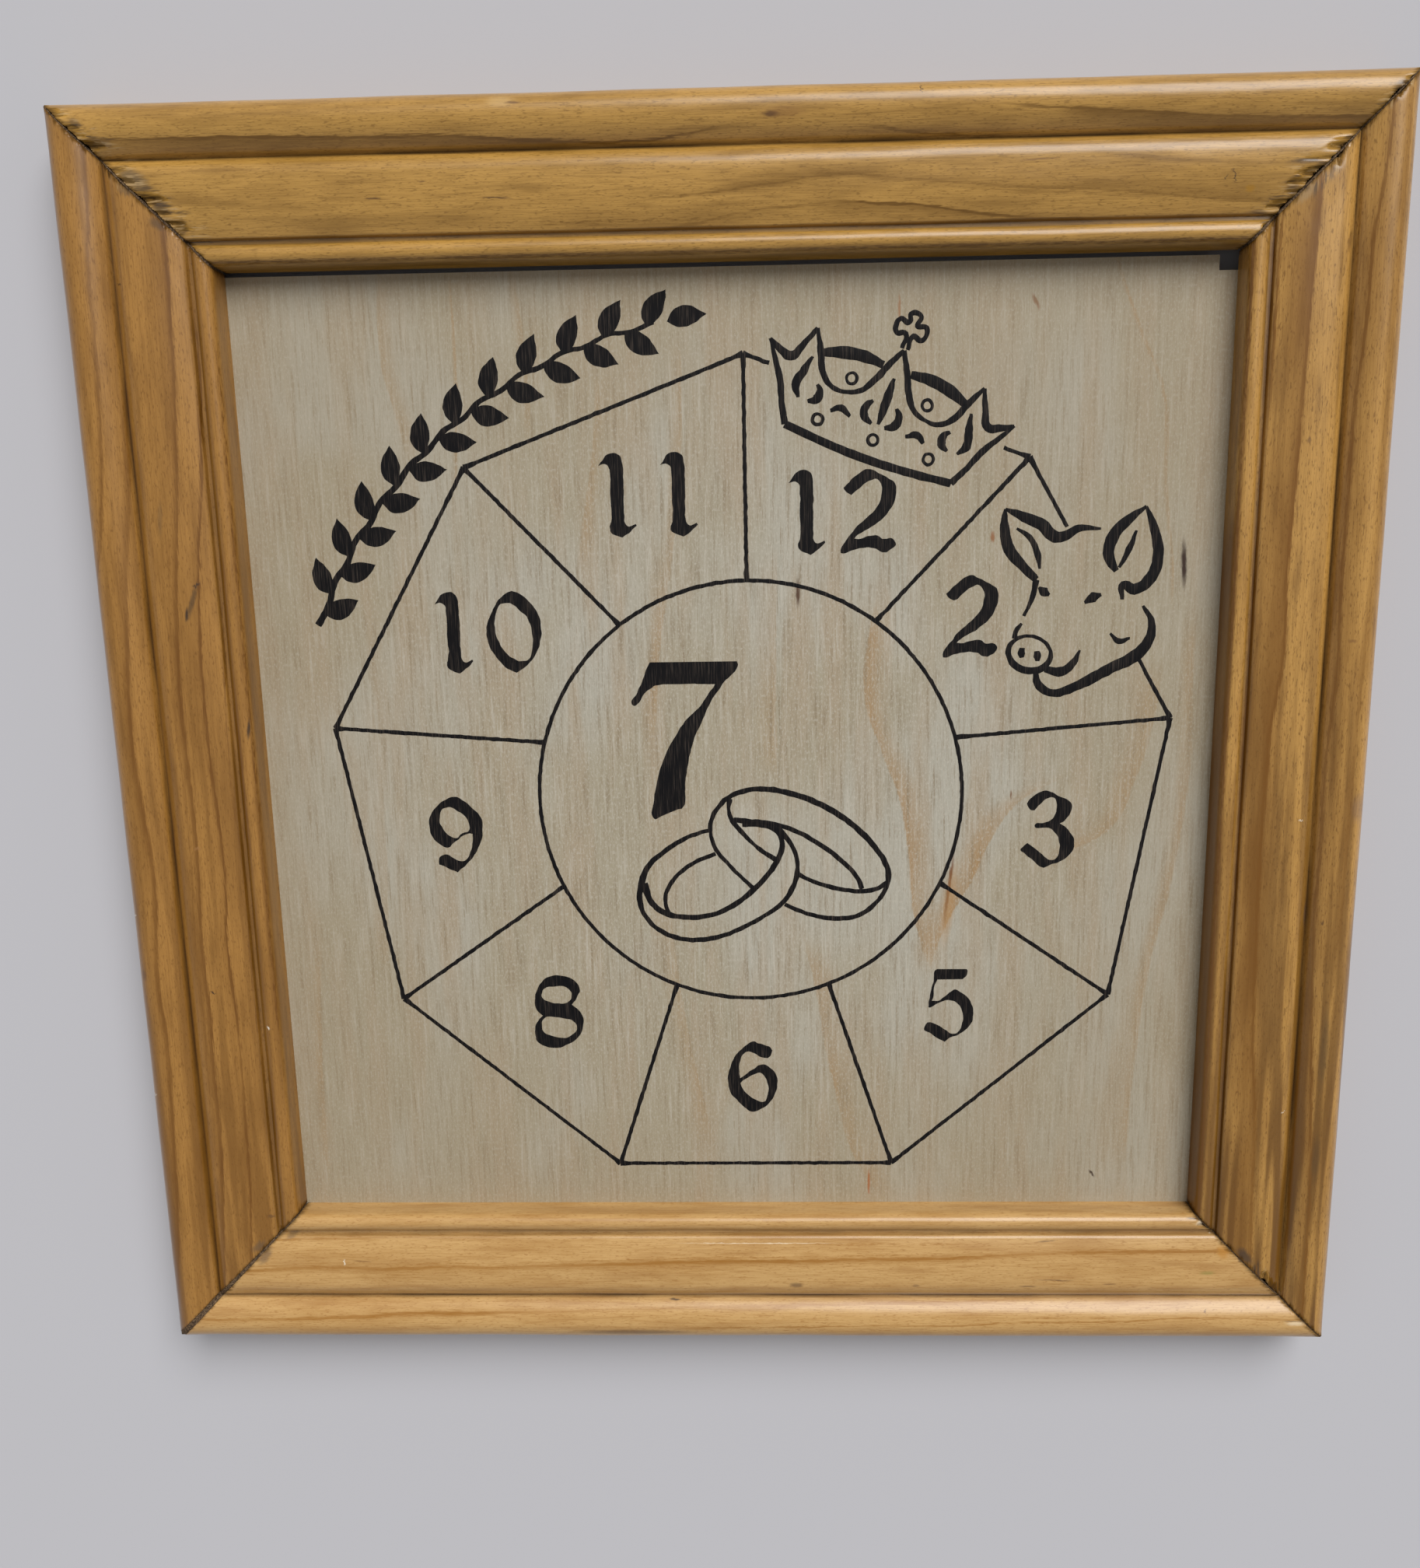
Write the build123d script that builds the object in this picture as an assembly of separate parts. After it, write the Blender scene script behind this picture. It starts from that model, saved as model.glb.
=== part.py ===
from build123d import *
import os
from math import cos, radians, sin, sqrt

# Dice game board: a plywood playing field behind a mitred pine moulding.
# It lies on its back. X runs to the right across the field, Y to its top edge and Z up through its face.
# The origin is the middle of the back. Lengths are millimetres.

# Opening between the rails
sight_width = 290.0
sight_height = 290.0

# Moulding section, widths from the outer edge inwards and heights from the back
rail_width = 43.0
rail_depth = 22.0  # to the crest of the outer bead
outer_round = 6.2  # radius from the outer side to the crest
outer_bead_width = 14.2
outer_bead_fall = 3.6  # crest down to the quirk
quirk_width = 0.7
quirk_height = 17.4
ovolo_height = 20.6
ovolo_rise_width = 5.4  # quirk to the crest of the ovolo
ovolo_fall = 3.0  # crest down to the inner groove
inner_groove_width = 1.1
inner_groove_height = 16.3
inner_bead_width = 6.0
inner_bead_height = 18.3
inner_round = 3.0  # radius from the inner bead's crest to the sight edge

# Rebate that takes the panel
rebate_width = 6.0
rebate_depth = 8.0

# Gaps in the mitres, square to the joint
tight_gap = 0.3
sprung_gap = 0.7  # sight end of the two top joints
open_gap = 2.0  # outer end of the bottom left joint
filler_sink = 0.25  # filler below the moulding's surface

# Plywood panel
panel_thickness = 4.0
panel_clearance = 1.0  # panel edge to rebate wall, at both sides and below
top_slit = 1.2  # panel's top edge short of the top rail's sight edge
notch_reach = 5.3  # corner notch seen from the two sight edges

# Playing field, engraved in the panel
field_radius = 129.5  # centre to corner of the outline
field_right = 4.5  # centre of the field from the middle of the frame
field_down = 9.5
field_sides = 9
ring_radius = 65.2
spoke_aim = 12.3  # the point that the spokes run from, above the centre
line_width = 1.1
line_depth = 0.2

# Stretches of two sides of the outline that drawn figures cover, from the side's first corner
crown_from = 8.0
crown_to = 80.5
head_from = 23.0
head_to = 71.5

# V-shaped nails driven into the mitres from the back
nail_gauge = 0.5
nail_leg = 4.6
nail_half_angle = 55.0
nail_length = 7.0
nail_sink = 0.3
outer_nail_at = 12.0  # from the two outer sides
inner_nail_at = 26.0

# Points that hold the panel from behind
point_width = 6.0
point_gauge = 0.5
point_bite = 6.0  # driven into the rebate wall
point_tip = 3.0  # length of the sharpened end
point_reach = 9.0  # stands out of the rebate wall
point_pitch = 95.0
points_a_side = 3

# Sizes that follow
outer_width = sight_width + 2 * rail_width
outer_height = sight_height + 2 * rail_width
rebate_wall = rail_width - rebate_width
panel_back = rebate_depth - panel_thickness
panel_half_width = sight_width / 2 + rebate_width - panel_clearance
panel_bottom = -(sight_height / 2 + rebate_width - panel_clearance)
panel_top = sight_height / 2 - top_slit
field_middle = Pos(field_right, -field_down)
joint_gaps = {
    "bottom_left": (tight_gap, open_gap),
    "bottom_right": (tight_gap, tight_gap),
    "top_right": (sprung_gap, tight_gap),
    "top_left": (sprung_gap, tight_gap),
}

# Turn and outer corner of each joint, counted anticlockwise from the bottom left
corner_places = {
    "bottom_left": Pos(-outer_width / 2, -outer_height / 2) * Rot(0, 0, 0),
    "bottom_right": Pos(outer_width / 2, -outer_height / 2) * Rot(0, 0, 90),
    "top_right": Pos(outer_width / 2, outer_height / 2) * Rot(0, 0, 180),
    "top_left": Pos(-outer_width / 2, outer_height / 2) * Rot(0, 0, 270),
}

# Each rail is drawn along X with its outer side on y = 0 and then turned to its place
rail_places = {
    "bottom": Pos(0, -outer_height / 2) * Rot(0, 0, 0),
    "right": Pos(outer_width / 2, 0) * Rot(0, 0, 90),
    "top": Pos(0, outer_height / 2) * Rot(0, 0, 180),
    "left": Pos(-outer_width / 2, 0) * Rot(0, 0, 270),
}
rail_lengths = {
    "bottom": outer_width,
    "right": outer_height,
    "top": outer_width,
    "left": outer_height,
}

# Joints at the low and the high end of each rail, as it is drawn
rail_joints = {
    "bottom": ("bottom_left", "bottom_right"),
    "right": ("bottom_right", "top_right"),
    "top": ("top_right", "top_left"),
    "left": ("top_left", "bottom_left"),
}


def moulding_section():
    """Section of the moulding: outer bead, quirk, ovolo, inner groove, inner bead and rebate."""
    outer_crest = (outer_round, rail_depth)
    bead_end = (outer_bead_width, rail_depth - outer_bead_fall)
    quirk = (outer_bead_width + quirk_width, quirk_height)
    ovolo_crest = (quirk[0] + ovolo_rise_width, ovolo_height)
    groove_end = rail_width - inner_bead_width
    groove_start = groove_end - inner_groove_width
    ovolo_end = (groove_start, ovolo_height - ovolo_fall)
    groove_near = (groove_start + inner_groove_width / 3, inner_groove_height)
    groove_far = (groove_end, inner_groove_height)
    inner_crest = (rail_width - inner_round, inner_bead_height)
    outline = [
        Line((0, 0), (0, rail_depth - outer_round)),
        TangentArc(outer_crest, (0, rail_depth - outer_round), tangent=(-1, 0)),
        TangentArc(outer_crest, bead_end, tangent=(1, 0)),
        Line(bead_end, quirk),
        TangentArc(ovolo_crest, quirk, tangent=(-1, 0)),
        TangentArc(ovolo_crest, ovolo_end, tangent=(1, 0)),
        Line(ovolo_end, groove_near),
        Line(groove_near, groove_far),
        TangentArc(inner_crest, groove_far, tangent=(-1, 0)),
        TangentArc(inner_crest, (rail_width, inner_bead_height - inner_round), tangent=(1, 0)),
        Line((rail_width, inner_bead_height - inner_round), (rail_width, rebate_depth)),
        Line((rail_width, rebate_depth), (rebate_wall, rebate_depth)),
        Line((rebate_wall, rebate_depth), (rebate_wall, 0)),
        Line((rebate_wall, 0), (0, 0)),
    ]
    return make_face(outline)


def sunk_section():
    """The moulding's section, drawn in on every side by the filler's sink."""
    section = moulding_section()
    sunk = section
    for across, up in ((1, 0), (-1, 0), (0, 1), (0, -1)):
        sunk &= Pos(filler_sink * across, filler_sink * up) * section
    return sunk


def moulding(start, length, section):
    """The section drawn out along X, with its outer side on y = 0."""
    return extrude(Plane.YZ.offset(start) * section, length)


def prism(corners, height):
    """An upright prism on a plan outline, from the back plane up."""
    return extrude(make_face(Polyline(*corners, close=True)), height)


def mitre_cut(gap):
    """How far a rail's end stands back along its length for half of a joint's gap."""
    return gap / sqrt(2)


def mitred_rail(length, low_joint, high_joint):
    """One rail between its two mitres, before nails and points are driven in."""
    low_inner, low_outer = (mitre_cut(gap) for gap in joint_gaps[low_joint])
    high_inner, high_outer = (mitre_cut(gap) for gap in joint_gaps[high_joint])
    half = length / 2
    plan = [
        (-half + low_outer, 0),
        (half - high_outer, 0),
        (half - rail_width - high_inner, rail_width),
        (-half + rail_width + low_inner, rail_width),
    ]
    return moulding(-half, length, moulding_section()) & prism(plan, 2 * rail_depth)


def corner_filler(gaps):
    """The filler in one mitre, with the corner at the origin and the two rails along X and Y."""
    inner, outer = (mitre_cut(gap) for gap in gaps)
    plan = [(0, 0), (outer, 0), (rail_width + inner, rail_width), (rail_width, rail_width)]
    one_side = moulding(0, 2 * rail_width, sunk_section()) & prism(plan, 2 * rail_depth)
    diagonal = Plane(origin=(0, 0, 0), z_dir=(1, -1, 0))
    return one_side + mirror(one_side, about=diagonal)


def v_nail(along, bottom):
    """A V-shaped nail over the mitre, with its bend towards the opening."""
    bend = Vector(along, along)
    spread = 180 - nail_half_angle
    legs = [bend + nail_leg * Vector(cos(radians(45 + a)), sin(radians(45 + a))) for a in (spread, -spread)]
    path = Polyline(legs[0], bend, legs[1])
    return Pos(0, 0, bottom) * extrude(trace(path, nail_gauge), nail_length + nail_sink - bottom)


def holding_point(along):
    """A sharpened steel tab in the rebate wall, flat against the back of the panel."""
    half = point_width / 2
    outline = [
        (along - half, rebate_wall + point_reach),
        (along + half, rebate_wall + point_reach),
        (along + half, rebate_wall - point_bite + point_tip),
        (along, rebate_wall - point_bite),
        (along - half, rebate_wall - point_bite + point_tip),
    ]
    return Pos(0, 0, panel_back - point_gauge) * prism(outline, point_gauge)


def field_corner(number):
    """A corner of the outline, counted clockwise from the top one."""
    angle = radians(90 - number * 360 / field_sides)
    return Vector(field_radius * cos(angle), field_radius * sin(angle))


def covered_stretch(number, start, stop):
    """Plan of the stretch of one side, clockwise from its corner, that a figure is drawn over."""
    first = field_corner(number)
    along = (field_corner(number + 1) - first).normalized()
    return trace(Line(first + start * along, first + stop * along), 2 * line_width)


def field_lines():
    """Plan of the engraved lines: nine-sided outline, ring, and spokes from a point above the centre."""
    outline = RegularPolygon(field_radius, field_sides, rotation=90)
    grown = offset(outline, line_width / 2, kind=Kind.INTERSECTION)
    shrunk = offset(outline, -line_width / 2, kind=Kind.INTERSECTION)
    covered = covered_stretch(0, crown_from, crown_to) + covered_stretch(1, head_from, head_to)
    ring = Circle(ring_radius + line_width / 2) - Circle(ring_radius - line_width / 2)
    spokes = Sketch()
    for number in range(field_sides):
        spokes += trace(Line((0, spoke_aim), field_corner(number)), line_width)
    spokes = (spokes - Circle(ring_radius)) & grown
    return field_middle * (grown - shrunk - covered + ring + spokes)


def game_panel():
    """The plywood field, short at the top, with its corner notch and engraved lines."""
    plan = [
        (-panel_half_width, panel_bottom),
        (panel_half_width, panel_bottom),
        (panel_half_width, sight_height / 2 - notch_reach),
        (sight_width / 2 - notch_reach, sight_height / 2 - notch_reach),
        (sight_width / 2 - notch_reach, panel_top),
        (-panel_half_width, panel_top),
    ]
    board = Pos(0, 0, panel_back) * prism(plan, panel_thickness)
    return board - Pos(0, 0, rebate_depth - line_depth) * extrude(field_lines(), 2 * line_depth)


def write(shape, node):
    shape.label = node
    export_step(shape, f"parts/{node}.step")


os.makedirs("parts", exist_ok=True)

nails = {}
nail_pockets = []
for corner, place in corner_places.items():
    for row, along in (("outer", outer_nail_at), ("inner", inner_nail_at)):
        nails[f"v_nail_{corner}_{row}"] = place * v_nail(along, nail_sink)
        nail_pockets.append(place * v_nail(along, 0))

points = {}
for side in ("left", "bottom", "right"):
    for number in range(points_a_side):
        along = point_pitch * (number - (points_a_side - 1) / 2)
        points[f"holding_point_{side}_{number + 1}"] = rail_places[side] * holding_point(along)

for side, place in rail_places.items():
    rail = place * mitred_rail(rail_lengths[side], *rail_joints[side])
    write(rail - (nail_pockets + list(points.values())), f"{side}_rail")

for corner, place in corner_places.items():
    filler = place * corner_filler(joint_gaps[corner])
    write(filler - nail_pockets, f"mitre_filler_{corner}")

write(game_panel(), "game_panel")
for node, metal in (nails | points).items():
    write(metal, node)
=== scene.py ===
import random
from math import atan2, cos, pi, radians, sin, sqrt

import bmesh
import bpy
from mathutils import Matrix, Vector, noise


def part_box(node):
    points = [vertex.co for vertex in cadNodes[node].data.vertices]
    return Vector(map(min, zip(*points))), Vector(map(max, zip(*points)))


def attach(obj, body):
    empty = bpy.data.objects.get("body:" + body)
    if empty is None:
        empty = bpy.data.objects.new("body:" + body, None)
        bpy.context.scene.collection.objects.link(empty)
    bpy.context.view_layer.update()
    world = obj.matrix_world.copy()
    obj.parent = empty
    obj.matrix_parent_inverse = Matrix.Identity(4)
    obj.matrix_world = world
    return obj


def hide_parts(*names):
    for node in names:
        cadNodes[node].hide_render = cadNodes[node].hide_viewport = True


# Dice game board lying on its back: X to the right, Y to its top edge, Z out of the playing face.
# Blender's lengths are metres, so the sizes below are millimetres times mm.
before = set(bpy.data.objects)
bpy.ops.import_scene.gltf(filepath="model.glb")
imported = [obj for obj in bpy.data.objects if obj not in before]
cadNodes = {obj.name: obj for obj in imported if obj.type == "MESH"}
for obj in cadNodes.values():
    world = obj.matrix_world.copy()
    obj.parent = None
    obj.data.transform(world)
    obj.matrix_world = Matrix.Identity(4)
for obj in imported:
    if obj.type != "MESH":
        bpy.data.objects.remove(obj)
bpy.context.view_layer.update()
scene = bpy.context.scene
mm = 0.001
print("frame loaded:", len(cadNodes), "CAD nodes")


# Meshes

def linkMesh(name, mesh):
    piece = bpy.data.objects.new(name, mesh)
    scene.collection.objects.link(piece)
    return piece


def evaluatedMesh(piece):
    # the mesh of a curve, or of a piece with its modifiers applied
    graph = bpy.context.evaluated_depsgraph_get()
    return bpy.data.meshes.new_from_object(piece.evaluated_get(graph))


def shadeRounded(mesh, sharpAngle):
    mesh.shade_smooth()
    mesh.set_sharp_from_angle(angle=radians(sharpAngle))


def smoothNoise(x, y, z, seed):
    # from 0 to 1
    return noise.noise(Vector((x + seed, y, z))) * 0.5 + 0.5


def bell(away, width):
    # 1 in the middle, fading to nothing at about twice the width
    return 2.7 ** -((away / width) ** 2)


# Node trees

def tone(red, green, blue):
    # a colour as it shows on screen, 0 to 255
    parts = [value / 255 for value in (red, green, blue)]
    return tuple(p / 12.92 if p < 0.04 else ((p + 0.055) / 1.055) ** 2.4 for p in parts) + (1,)


def put(tree, kind, inputs=None, **settings):
    node = tree.nodes.new("ShaderNode" + kind)
    for name, value in settings.items():
        setattr(node, name, value)
    for name, value in (inputs or {}).items():
        if isinstance(value, bpy.types.NodeSocket):
            tree.links.new(value, node.inputs[name])
        else:
            node.inputs[name].default_value = value
    return node


def calc(tree, operation, *values):
    return put(tree, "Math", dict(enumerate(values)), operation=operation).outputs[0]


def times(tree, first, *others):
    for other in others:
        first = calc(tree, "MULTIPLY", first, other)
    return first


def calcVector(tree, operation, *values):
    node = put(tree, "VectorMath", dict(enumerate(values)), operation=operation)
    return node.outputs["Value" if operation == "LENGTH" else "Vector"]


def ease(tree, value, low, high, newLow=0, newHigh=1):
    inputs = {"Value": value, "From Min": low, "From Max": high, "To Min": newLow, "To Max": newHigh}
    return put(tree, "MapRange", inputs, interpolation_type="SMOOTHSTEP").outputs[0]


def tint(tree, amount, under, over):
    # a Mix node's sockets for colours are its inputs 6 and 7 and its output 2, counted from 0
    return put(tree, "Mix", {0: amount, 6: under, 7: over}, data_type="RGBA").outputs[2]


def cloud(tree, point, stretch, detail=2, rough=0.5, output="Fac"):
    # noise whose features are about stretch millimetres long on each axis
    scaled = calcVector(tree, "DIVIDE", point, stretch)
    inputs = {"Vector": scaled, "Scale": 1, "Detail": detail, "Roughness": rough}
    return put(tree, "TexNoise", inputs).outputs[output]


def newGroup(name, inputs, outputs):
    group = bpy.data.node_groups.new(name, "ShaderNodeTree")
    for label, (kind, value) in inputs.items():
        socket = group.interface.new_socket(label, in_out="INPUT", socket_type="NodeSocket" + kind)
        socket.default_value = value
    for label, kind in outputs.items():
        group.interface.new_socket(label, in_out="OUTPUT", socket_type="NodeSocket" + kind)
    return group, group.nodes.new("NodeGroupInput").outputs, group.nodes.new("NodeGroupOutput").inputs


def useGroup(tree, group, inputs):
    return put(tree, "Group", inputs, node_tree=group).outputs


def newMaterial(name, settings):
    material = bpy.data.materials.new(name)
    material.use_nodes = True
    tree = material.node_tree
    shader = tree.nodes["Principled BSDF"]
    for socket, value in settings.items():
        shader.inputs[socket].default_value = value
    return material, tree, shader


def boardPoint(tree, placing=None):
    # Object coordinates in millimetres, or in a rail's own axes when its placing is given
    inputs = {"Vector": put(tree, "TexCoord").outputs["Object"], "Scale": (1 / mm,) * 3}
    if placing is not None:
        back = placing.inverted()
        inputs["Location"] = back.translation / mm
        inputs["Rotation"] = back.to_euler()
    return put(tree, "Mapping", inputs).outputs[0]


def attribute(tree, name):
    return put(tree, "Attribute", attribute_name=name).outputs["Fac"]


def bumped(tree, shader, height, depth):
    node = put(tree, "Bump", {"Height": height, "Strength": 1, "Distance": depth * mm})
    tree.links.new(node.outputs[0], shader.inputs["Normal"])


# Growth rings, fibre and pores of pine, with the grain along X; each feature's size in millimetres
pineScale = {
    "drift": (95, 45, 45),
    "ripple": (16, 3, 3),
    "fibre": (9, 0.32, 0.32),
    "pores": (2.2, 0.24, 0.24),
    "blotch": (34, 8, 8),
    "alongTheLog": 0.035,  # how much less the rings change along the grain than across it
}


def buildPineGrain():
    group, given, made = newGroup("pineGrain", {
        "Point": ("Vector", (0, 0, 0)),
        "Heart": ("Vector", (0, 0, -60)),
        "Ring Gap": ("Float", 6),
        "Wander": ("Float", 5),
        "Late Strength": ("Float", 1),
        "Early": ("Color", (1, 1, 1, 1)),
        "Late": ("Color", (0, 0, 0, 1)),
    }, {"Color": "Color", "Rings": "Float", "Fibre": "Float"})
    point = given["Point"]
    # distance from the heart of the log, bent a little, counted in years
    drift = cloud(group, point, pineScale["drift"], 1.5, output="Color")
    drift = calcVector(group, "SUBTRACT", drift, (0.5, 0.5, 0.5))
    wander = put(group, "VectorMath", {0: drift, "Scale": given["Wander"]}, operation="SCALE")
    bent = calcVector(group, "ADD", point, wander.outputs["Vector"])
    offset = calcVector(group, "SUBTRACT", bent, given["Heart"])
    flattened = calcVector(group, "MULTIPLY", offset, (pineScale["alongTheLog"], 1, 1))
    radius = calcVector(group, "LENGTH", flattened)
    ripple = times(group, cloud(group, point, pineScale["ripple"], 2), 0.8)
    years = calc(group, "DIVIDE", calc(group, "ADD", radius, ripple), given["Ring Gap"])
    uneven = put(group, "TexNoise", {"W": years, "Scale": 0.7, "Detail": 1}, noise_dimensions="1D")
    years = calc(group, "MULTIPLY_ADD", uneven.outputs["Fac"], 1.6, years)
    # latewood darkens slowly through the year and ends sharply, in some years more than in others
    part = calc(group, "FRACT", years)
    perYear = put(group, "TexWhiteNoise", {"W": calc(group, "FLOOR", years)}, noise_dimensions="1D")
    late = times(group, ease(group, part, 0.25, 0.9), ease(group, part, 1.0, 0.93),
                 ease(group, perYear.outputs["Value"], 0, 1, 0.25, 1))
    fibre = cloud(group, point, pineScale["fibre"], 3, 0.65)
    pores = ease(group, cloud(group, point, pineScale["pores"], 1), 0.64, 0.76)
    blotch = cloud(group, point, pineScale["blotch"], 3, 0.6)
    amounts = (
        times(group, calc(group, "POWER", late, 1.3), given["Late Strength"]),
        ease(group, blotch, 0.42, 0.72, 0, 0.3),
        ease(group, fibre, 0.42, 0.72, 0, 0.4),
        times(group, pores, 0.5),
    )
    colour = given["Early"]
    for amount in amounts:
        colour = tint(group, amount, colour, given["Late"])
    group.links.new(colour, made["Color"])
    group.links.new(late, made["Rings"])
    group.links.new(fibre, made["Fibre"])
    return group


# One dark line of latewood that fades on either side, with fibres running through its edges
def buildLatewood():
    group, given, made = newGroup("latewood", {
        "Point": ("Vector", (0, 0, 0)),
        "At": ("Float", 0),
        "Before": ("Float", 1),
        "After": ("Float", 1),
        "Start": ("Float", -200),
        "Stop": ("Float", 200),
        "Broken": ("Float", 0),
        "Strength": ("Float", 1),
        "Fray": ("Float", 0),
        "Patches": ("Float", 0),
        "Swell": ("Float", 1),
    }, {"Mask": "Float"})
    parts = put(group, "SeparateXYZ", {0: given["Point"]}).outputs
    away = calc(group, "SUBTRACT", calc(group, "ADD", parts["Y"], given["Fray"]), given["At"])
    low = ease(group, away, times(group, given["Before"], -1), 0)
    high = ease(group, away, given["After"], 0)
    begins = ease(group, calc(group, "SUBTRACT", parts["X"], given["Start"]), -7, 7)
    ends = ease(group, calc(group, "SUBTRACT", parts["X"], given["Stop"]), 7, -7)
    whole = calc(group, "SUBTRACT", 1, times(group, given["Broken"], given["Patches"]))
    mask = times(group, low, high, begins, ends, whole, given["Swell"], given["Strength"])
    group.links.new(mask, made["Mask"])
    return group


# A soft-edged spot or streak on a face, in millimetres
def buildFleck():
    group, given, made = newGroup("fleck", {
        "Point": ("Vector", (0, 0, 0)),
        "Centre": ("Vector", (0, 0, 0)),
        "Reach": ("Vector", (1, 1, 1)),
        "Slant": ("Float", 0),
    }, {"Mask": "Float"})
    moved = calcVector(group, "SUBTRACT", given["Point"], given["Centre"])
    turned = put(group, "VectorRotate", {"Vector": moved, "Angle": given["Slant"]}, rotation_type="Z_AXIS")
    flat = calcVector(group, "MULTIPLY", turned.outputs[0], (1, 1, 0))
    away = calcVector(group, "LENGTH", calcVector(group, "DIVIDE", flat, given["Reach"]))
    group.links.new(ease(group, away, 1.0, 0.25), made["Mask"])
    return group


pineGrain = buildPineGrain()
latewood = buildLatewood()
fleck = buildFleck()


def fibreNoise(tree, point):
    # what frays, breaks and swells the lines of one material, with the grain along its X
    return {
        "Fray": ease(tree, cloud(tree, point, (5, 0.35, 0.35), 2), 0.25, 0.75, -0.3, 0.3),
        "Patches": ease(tree, cloud(tree, point, (2.2, 0.6, 0.6), 2), 0.42, 0.56),
        "Swell": ease(tree, cloud(tree, point, (38, 6, 6), 1), 0.3, 0.65, 0.8, 1.35),
    }


def layered(tree, colour, point, layers):
    # noises over a colour; each has tones that begin at low, are strongest at high and hide as much as most
    for stretch, detail, rough, tones in layers:
        noises = cloud(tree, point, stretch, detail, rough)
        for low, high, most, over in tones:
            colour = tint(tree, ease(tree, noises, low, high, 0, most), colour, over)
    return colour


def flecked(tree, colour, ragged, marks, shown):
    # spots and streaks over a colour, where shown is 1
    for place, reach, slant, mark, strength in marks:
        inputs = {"Point": ragged, "Centre": (*place, 0), "Reach": (*reach, 1), "Slant": radians(-slant)}
        mask = useGroup(tree, fleck, inputs)["Mask"]
        colour = tint(tree, times(tree, mask, shown, strength), colour, tone(*mark))
    return colour


def raggedPoint(tree, point, grain):
    # the same place moved a little, so that spots get fibrous edges
    noises = cloud(tree, point, grain, 2, output="Color")
    moved = calcVector(tree, "MULTIPLY", calcVector(tree, "SUBTRACT", noises, (0.5, 0.5, 0.5)), grain)
    return calcVector(tree, "ADD", point, moved)


def handRuled(tree, along, knots, lift=10, span=60):
    # a smooth line through given knots: along from -reach to reach, across from -lift to span - lift.
    # The curve node works from 0 to 1
    reach = 200
    node = put(tree, "FloatCurve", {"Value": calc(tree, "MULTIPLY_ADD", along, 0.5 / reach, 0.5)})
    points = node.mapping.curves[0].points
    for spot, (x, y) in zip((points[0], points[1]), (knots[0], knots[-1])):
        spot.location = (x / reach / 2 + 0.5, (y + lift) / span)
    for x, y in knots[1:-1]:
        points.new(x / reach / 2 + 0.5, (y + lift) / span)
    node.mapping.update()
    return calc(tree, "MULTIPLY_ADD", node.outputs[0], span, -lift)


# Frame rails: the moulding's section, in millimetres from the outer side inwards and up from the back
moulding = {
    "width": 43.0,
    "outerCrest": (6.2, 22.0),
    "outerStart": 15.8,
    "beadEnd": (14.2, 18.4),
    "quirk": (14.9, 17.4),
    "ovoloCrest": (20.3, 20.6),
    "ovoloEnd": (35.9, 17.6),
    "grooveNear": (36.27, 16.3),
    "grooveFar": (37.0, 16.3),
    "innerCrest": (40.0, 18.3),
    "sightTop": 15.3,
    "rebateTop": 8.0,
    "rebateWall": 37.0,
}

# Placing of each rail: it is drawn along X with its outer side on y = 0, and then turned
railHalf = 188.0
quarterTurn = pi / 2
railPlaces = {
    "bottom": Matrix.Translation((0, -railHalf * mm, 0)),
    "right": Matrix.Translation((railHalf * mm, 0, 0)) @ Matrix.Rotation(quarterTurn, 4, "Z"),
    "top": Matrix.Translation((0, railHalf * mm, 0)) @ Matrix.Rotation(2 * quarterTurn, 4, "Z"),
    "left": Matrix.Translation((-railHalf * mm, 0, 0)) @ Matrix.Rotation(3 * quarterTurn, 4, "Z"),
}
# Gap of the mitre at the low and the high end of each rail: (inner, outer)
railGaps = {
    "bottom": ((0.3, 2.0), (0.3, 0.3)),
    "right": ((0.3, 0.3), (0.7, 0.3)),
    "top": ((0.7, 0.3), (0.7, 0.3)),
    "left": ((0.7, 0.3), (0.3, 2.0)),
}
# How far each rail's finer ends reach, the mesh's steps along it, and the angle where its shading breaks
railMesh = {"end": 56, "endSteps": 24, "middleSteps": 120, "sharp": 38}
# Seed of each rail's wear, and how fine its mesh is: the top one is torn the most
railWear = {"bottom": (11, 1), "right": (18, 1), "top": (25, 2), "left": (32, 1)}

# Hand sanding: waves that are shallower near a mitre, and fine ripples
sanding = {
    "depth": 0.34,
    "wave": (34, 7, 9),
    "calmReach": 12,
    "calmest": 0.25,
    "fineDepth": 0.07,
    "ripple": (6, 2.5, 3),
    "rippleSeed": 40,
    "untouched": 10,  # height below which the outer side stays as it was moulded
}
# Where dirt gathers and painted shade darkens the wood: how far to each side of the quirk and of the groove
hollows = {"quirk": 0.42, "groove": 0.55, "grooveInset": 0.4, "grooveShare": 0.8}

# Splinters torn out along the mitres: lengths and depths are shares of their zone's longest and deepest
splinter = {
    "length": (0.3, 1),
    "width": (0.3, 0.75),
    "depth": (0.4, 1),
    "dark": 0.5,  # depth from which the wood in it is dark
    "deepest": 1.1,
    "frayed": 1.3,  # how far fraying reaches, as a share of the longest
}
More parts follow.
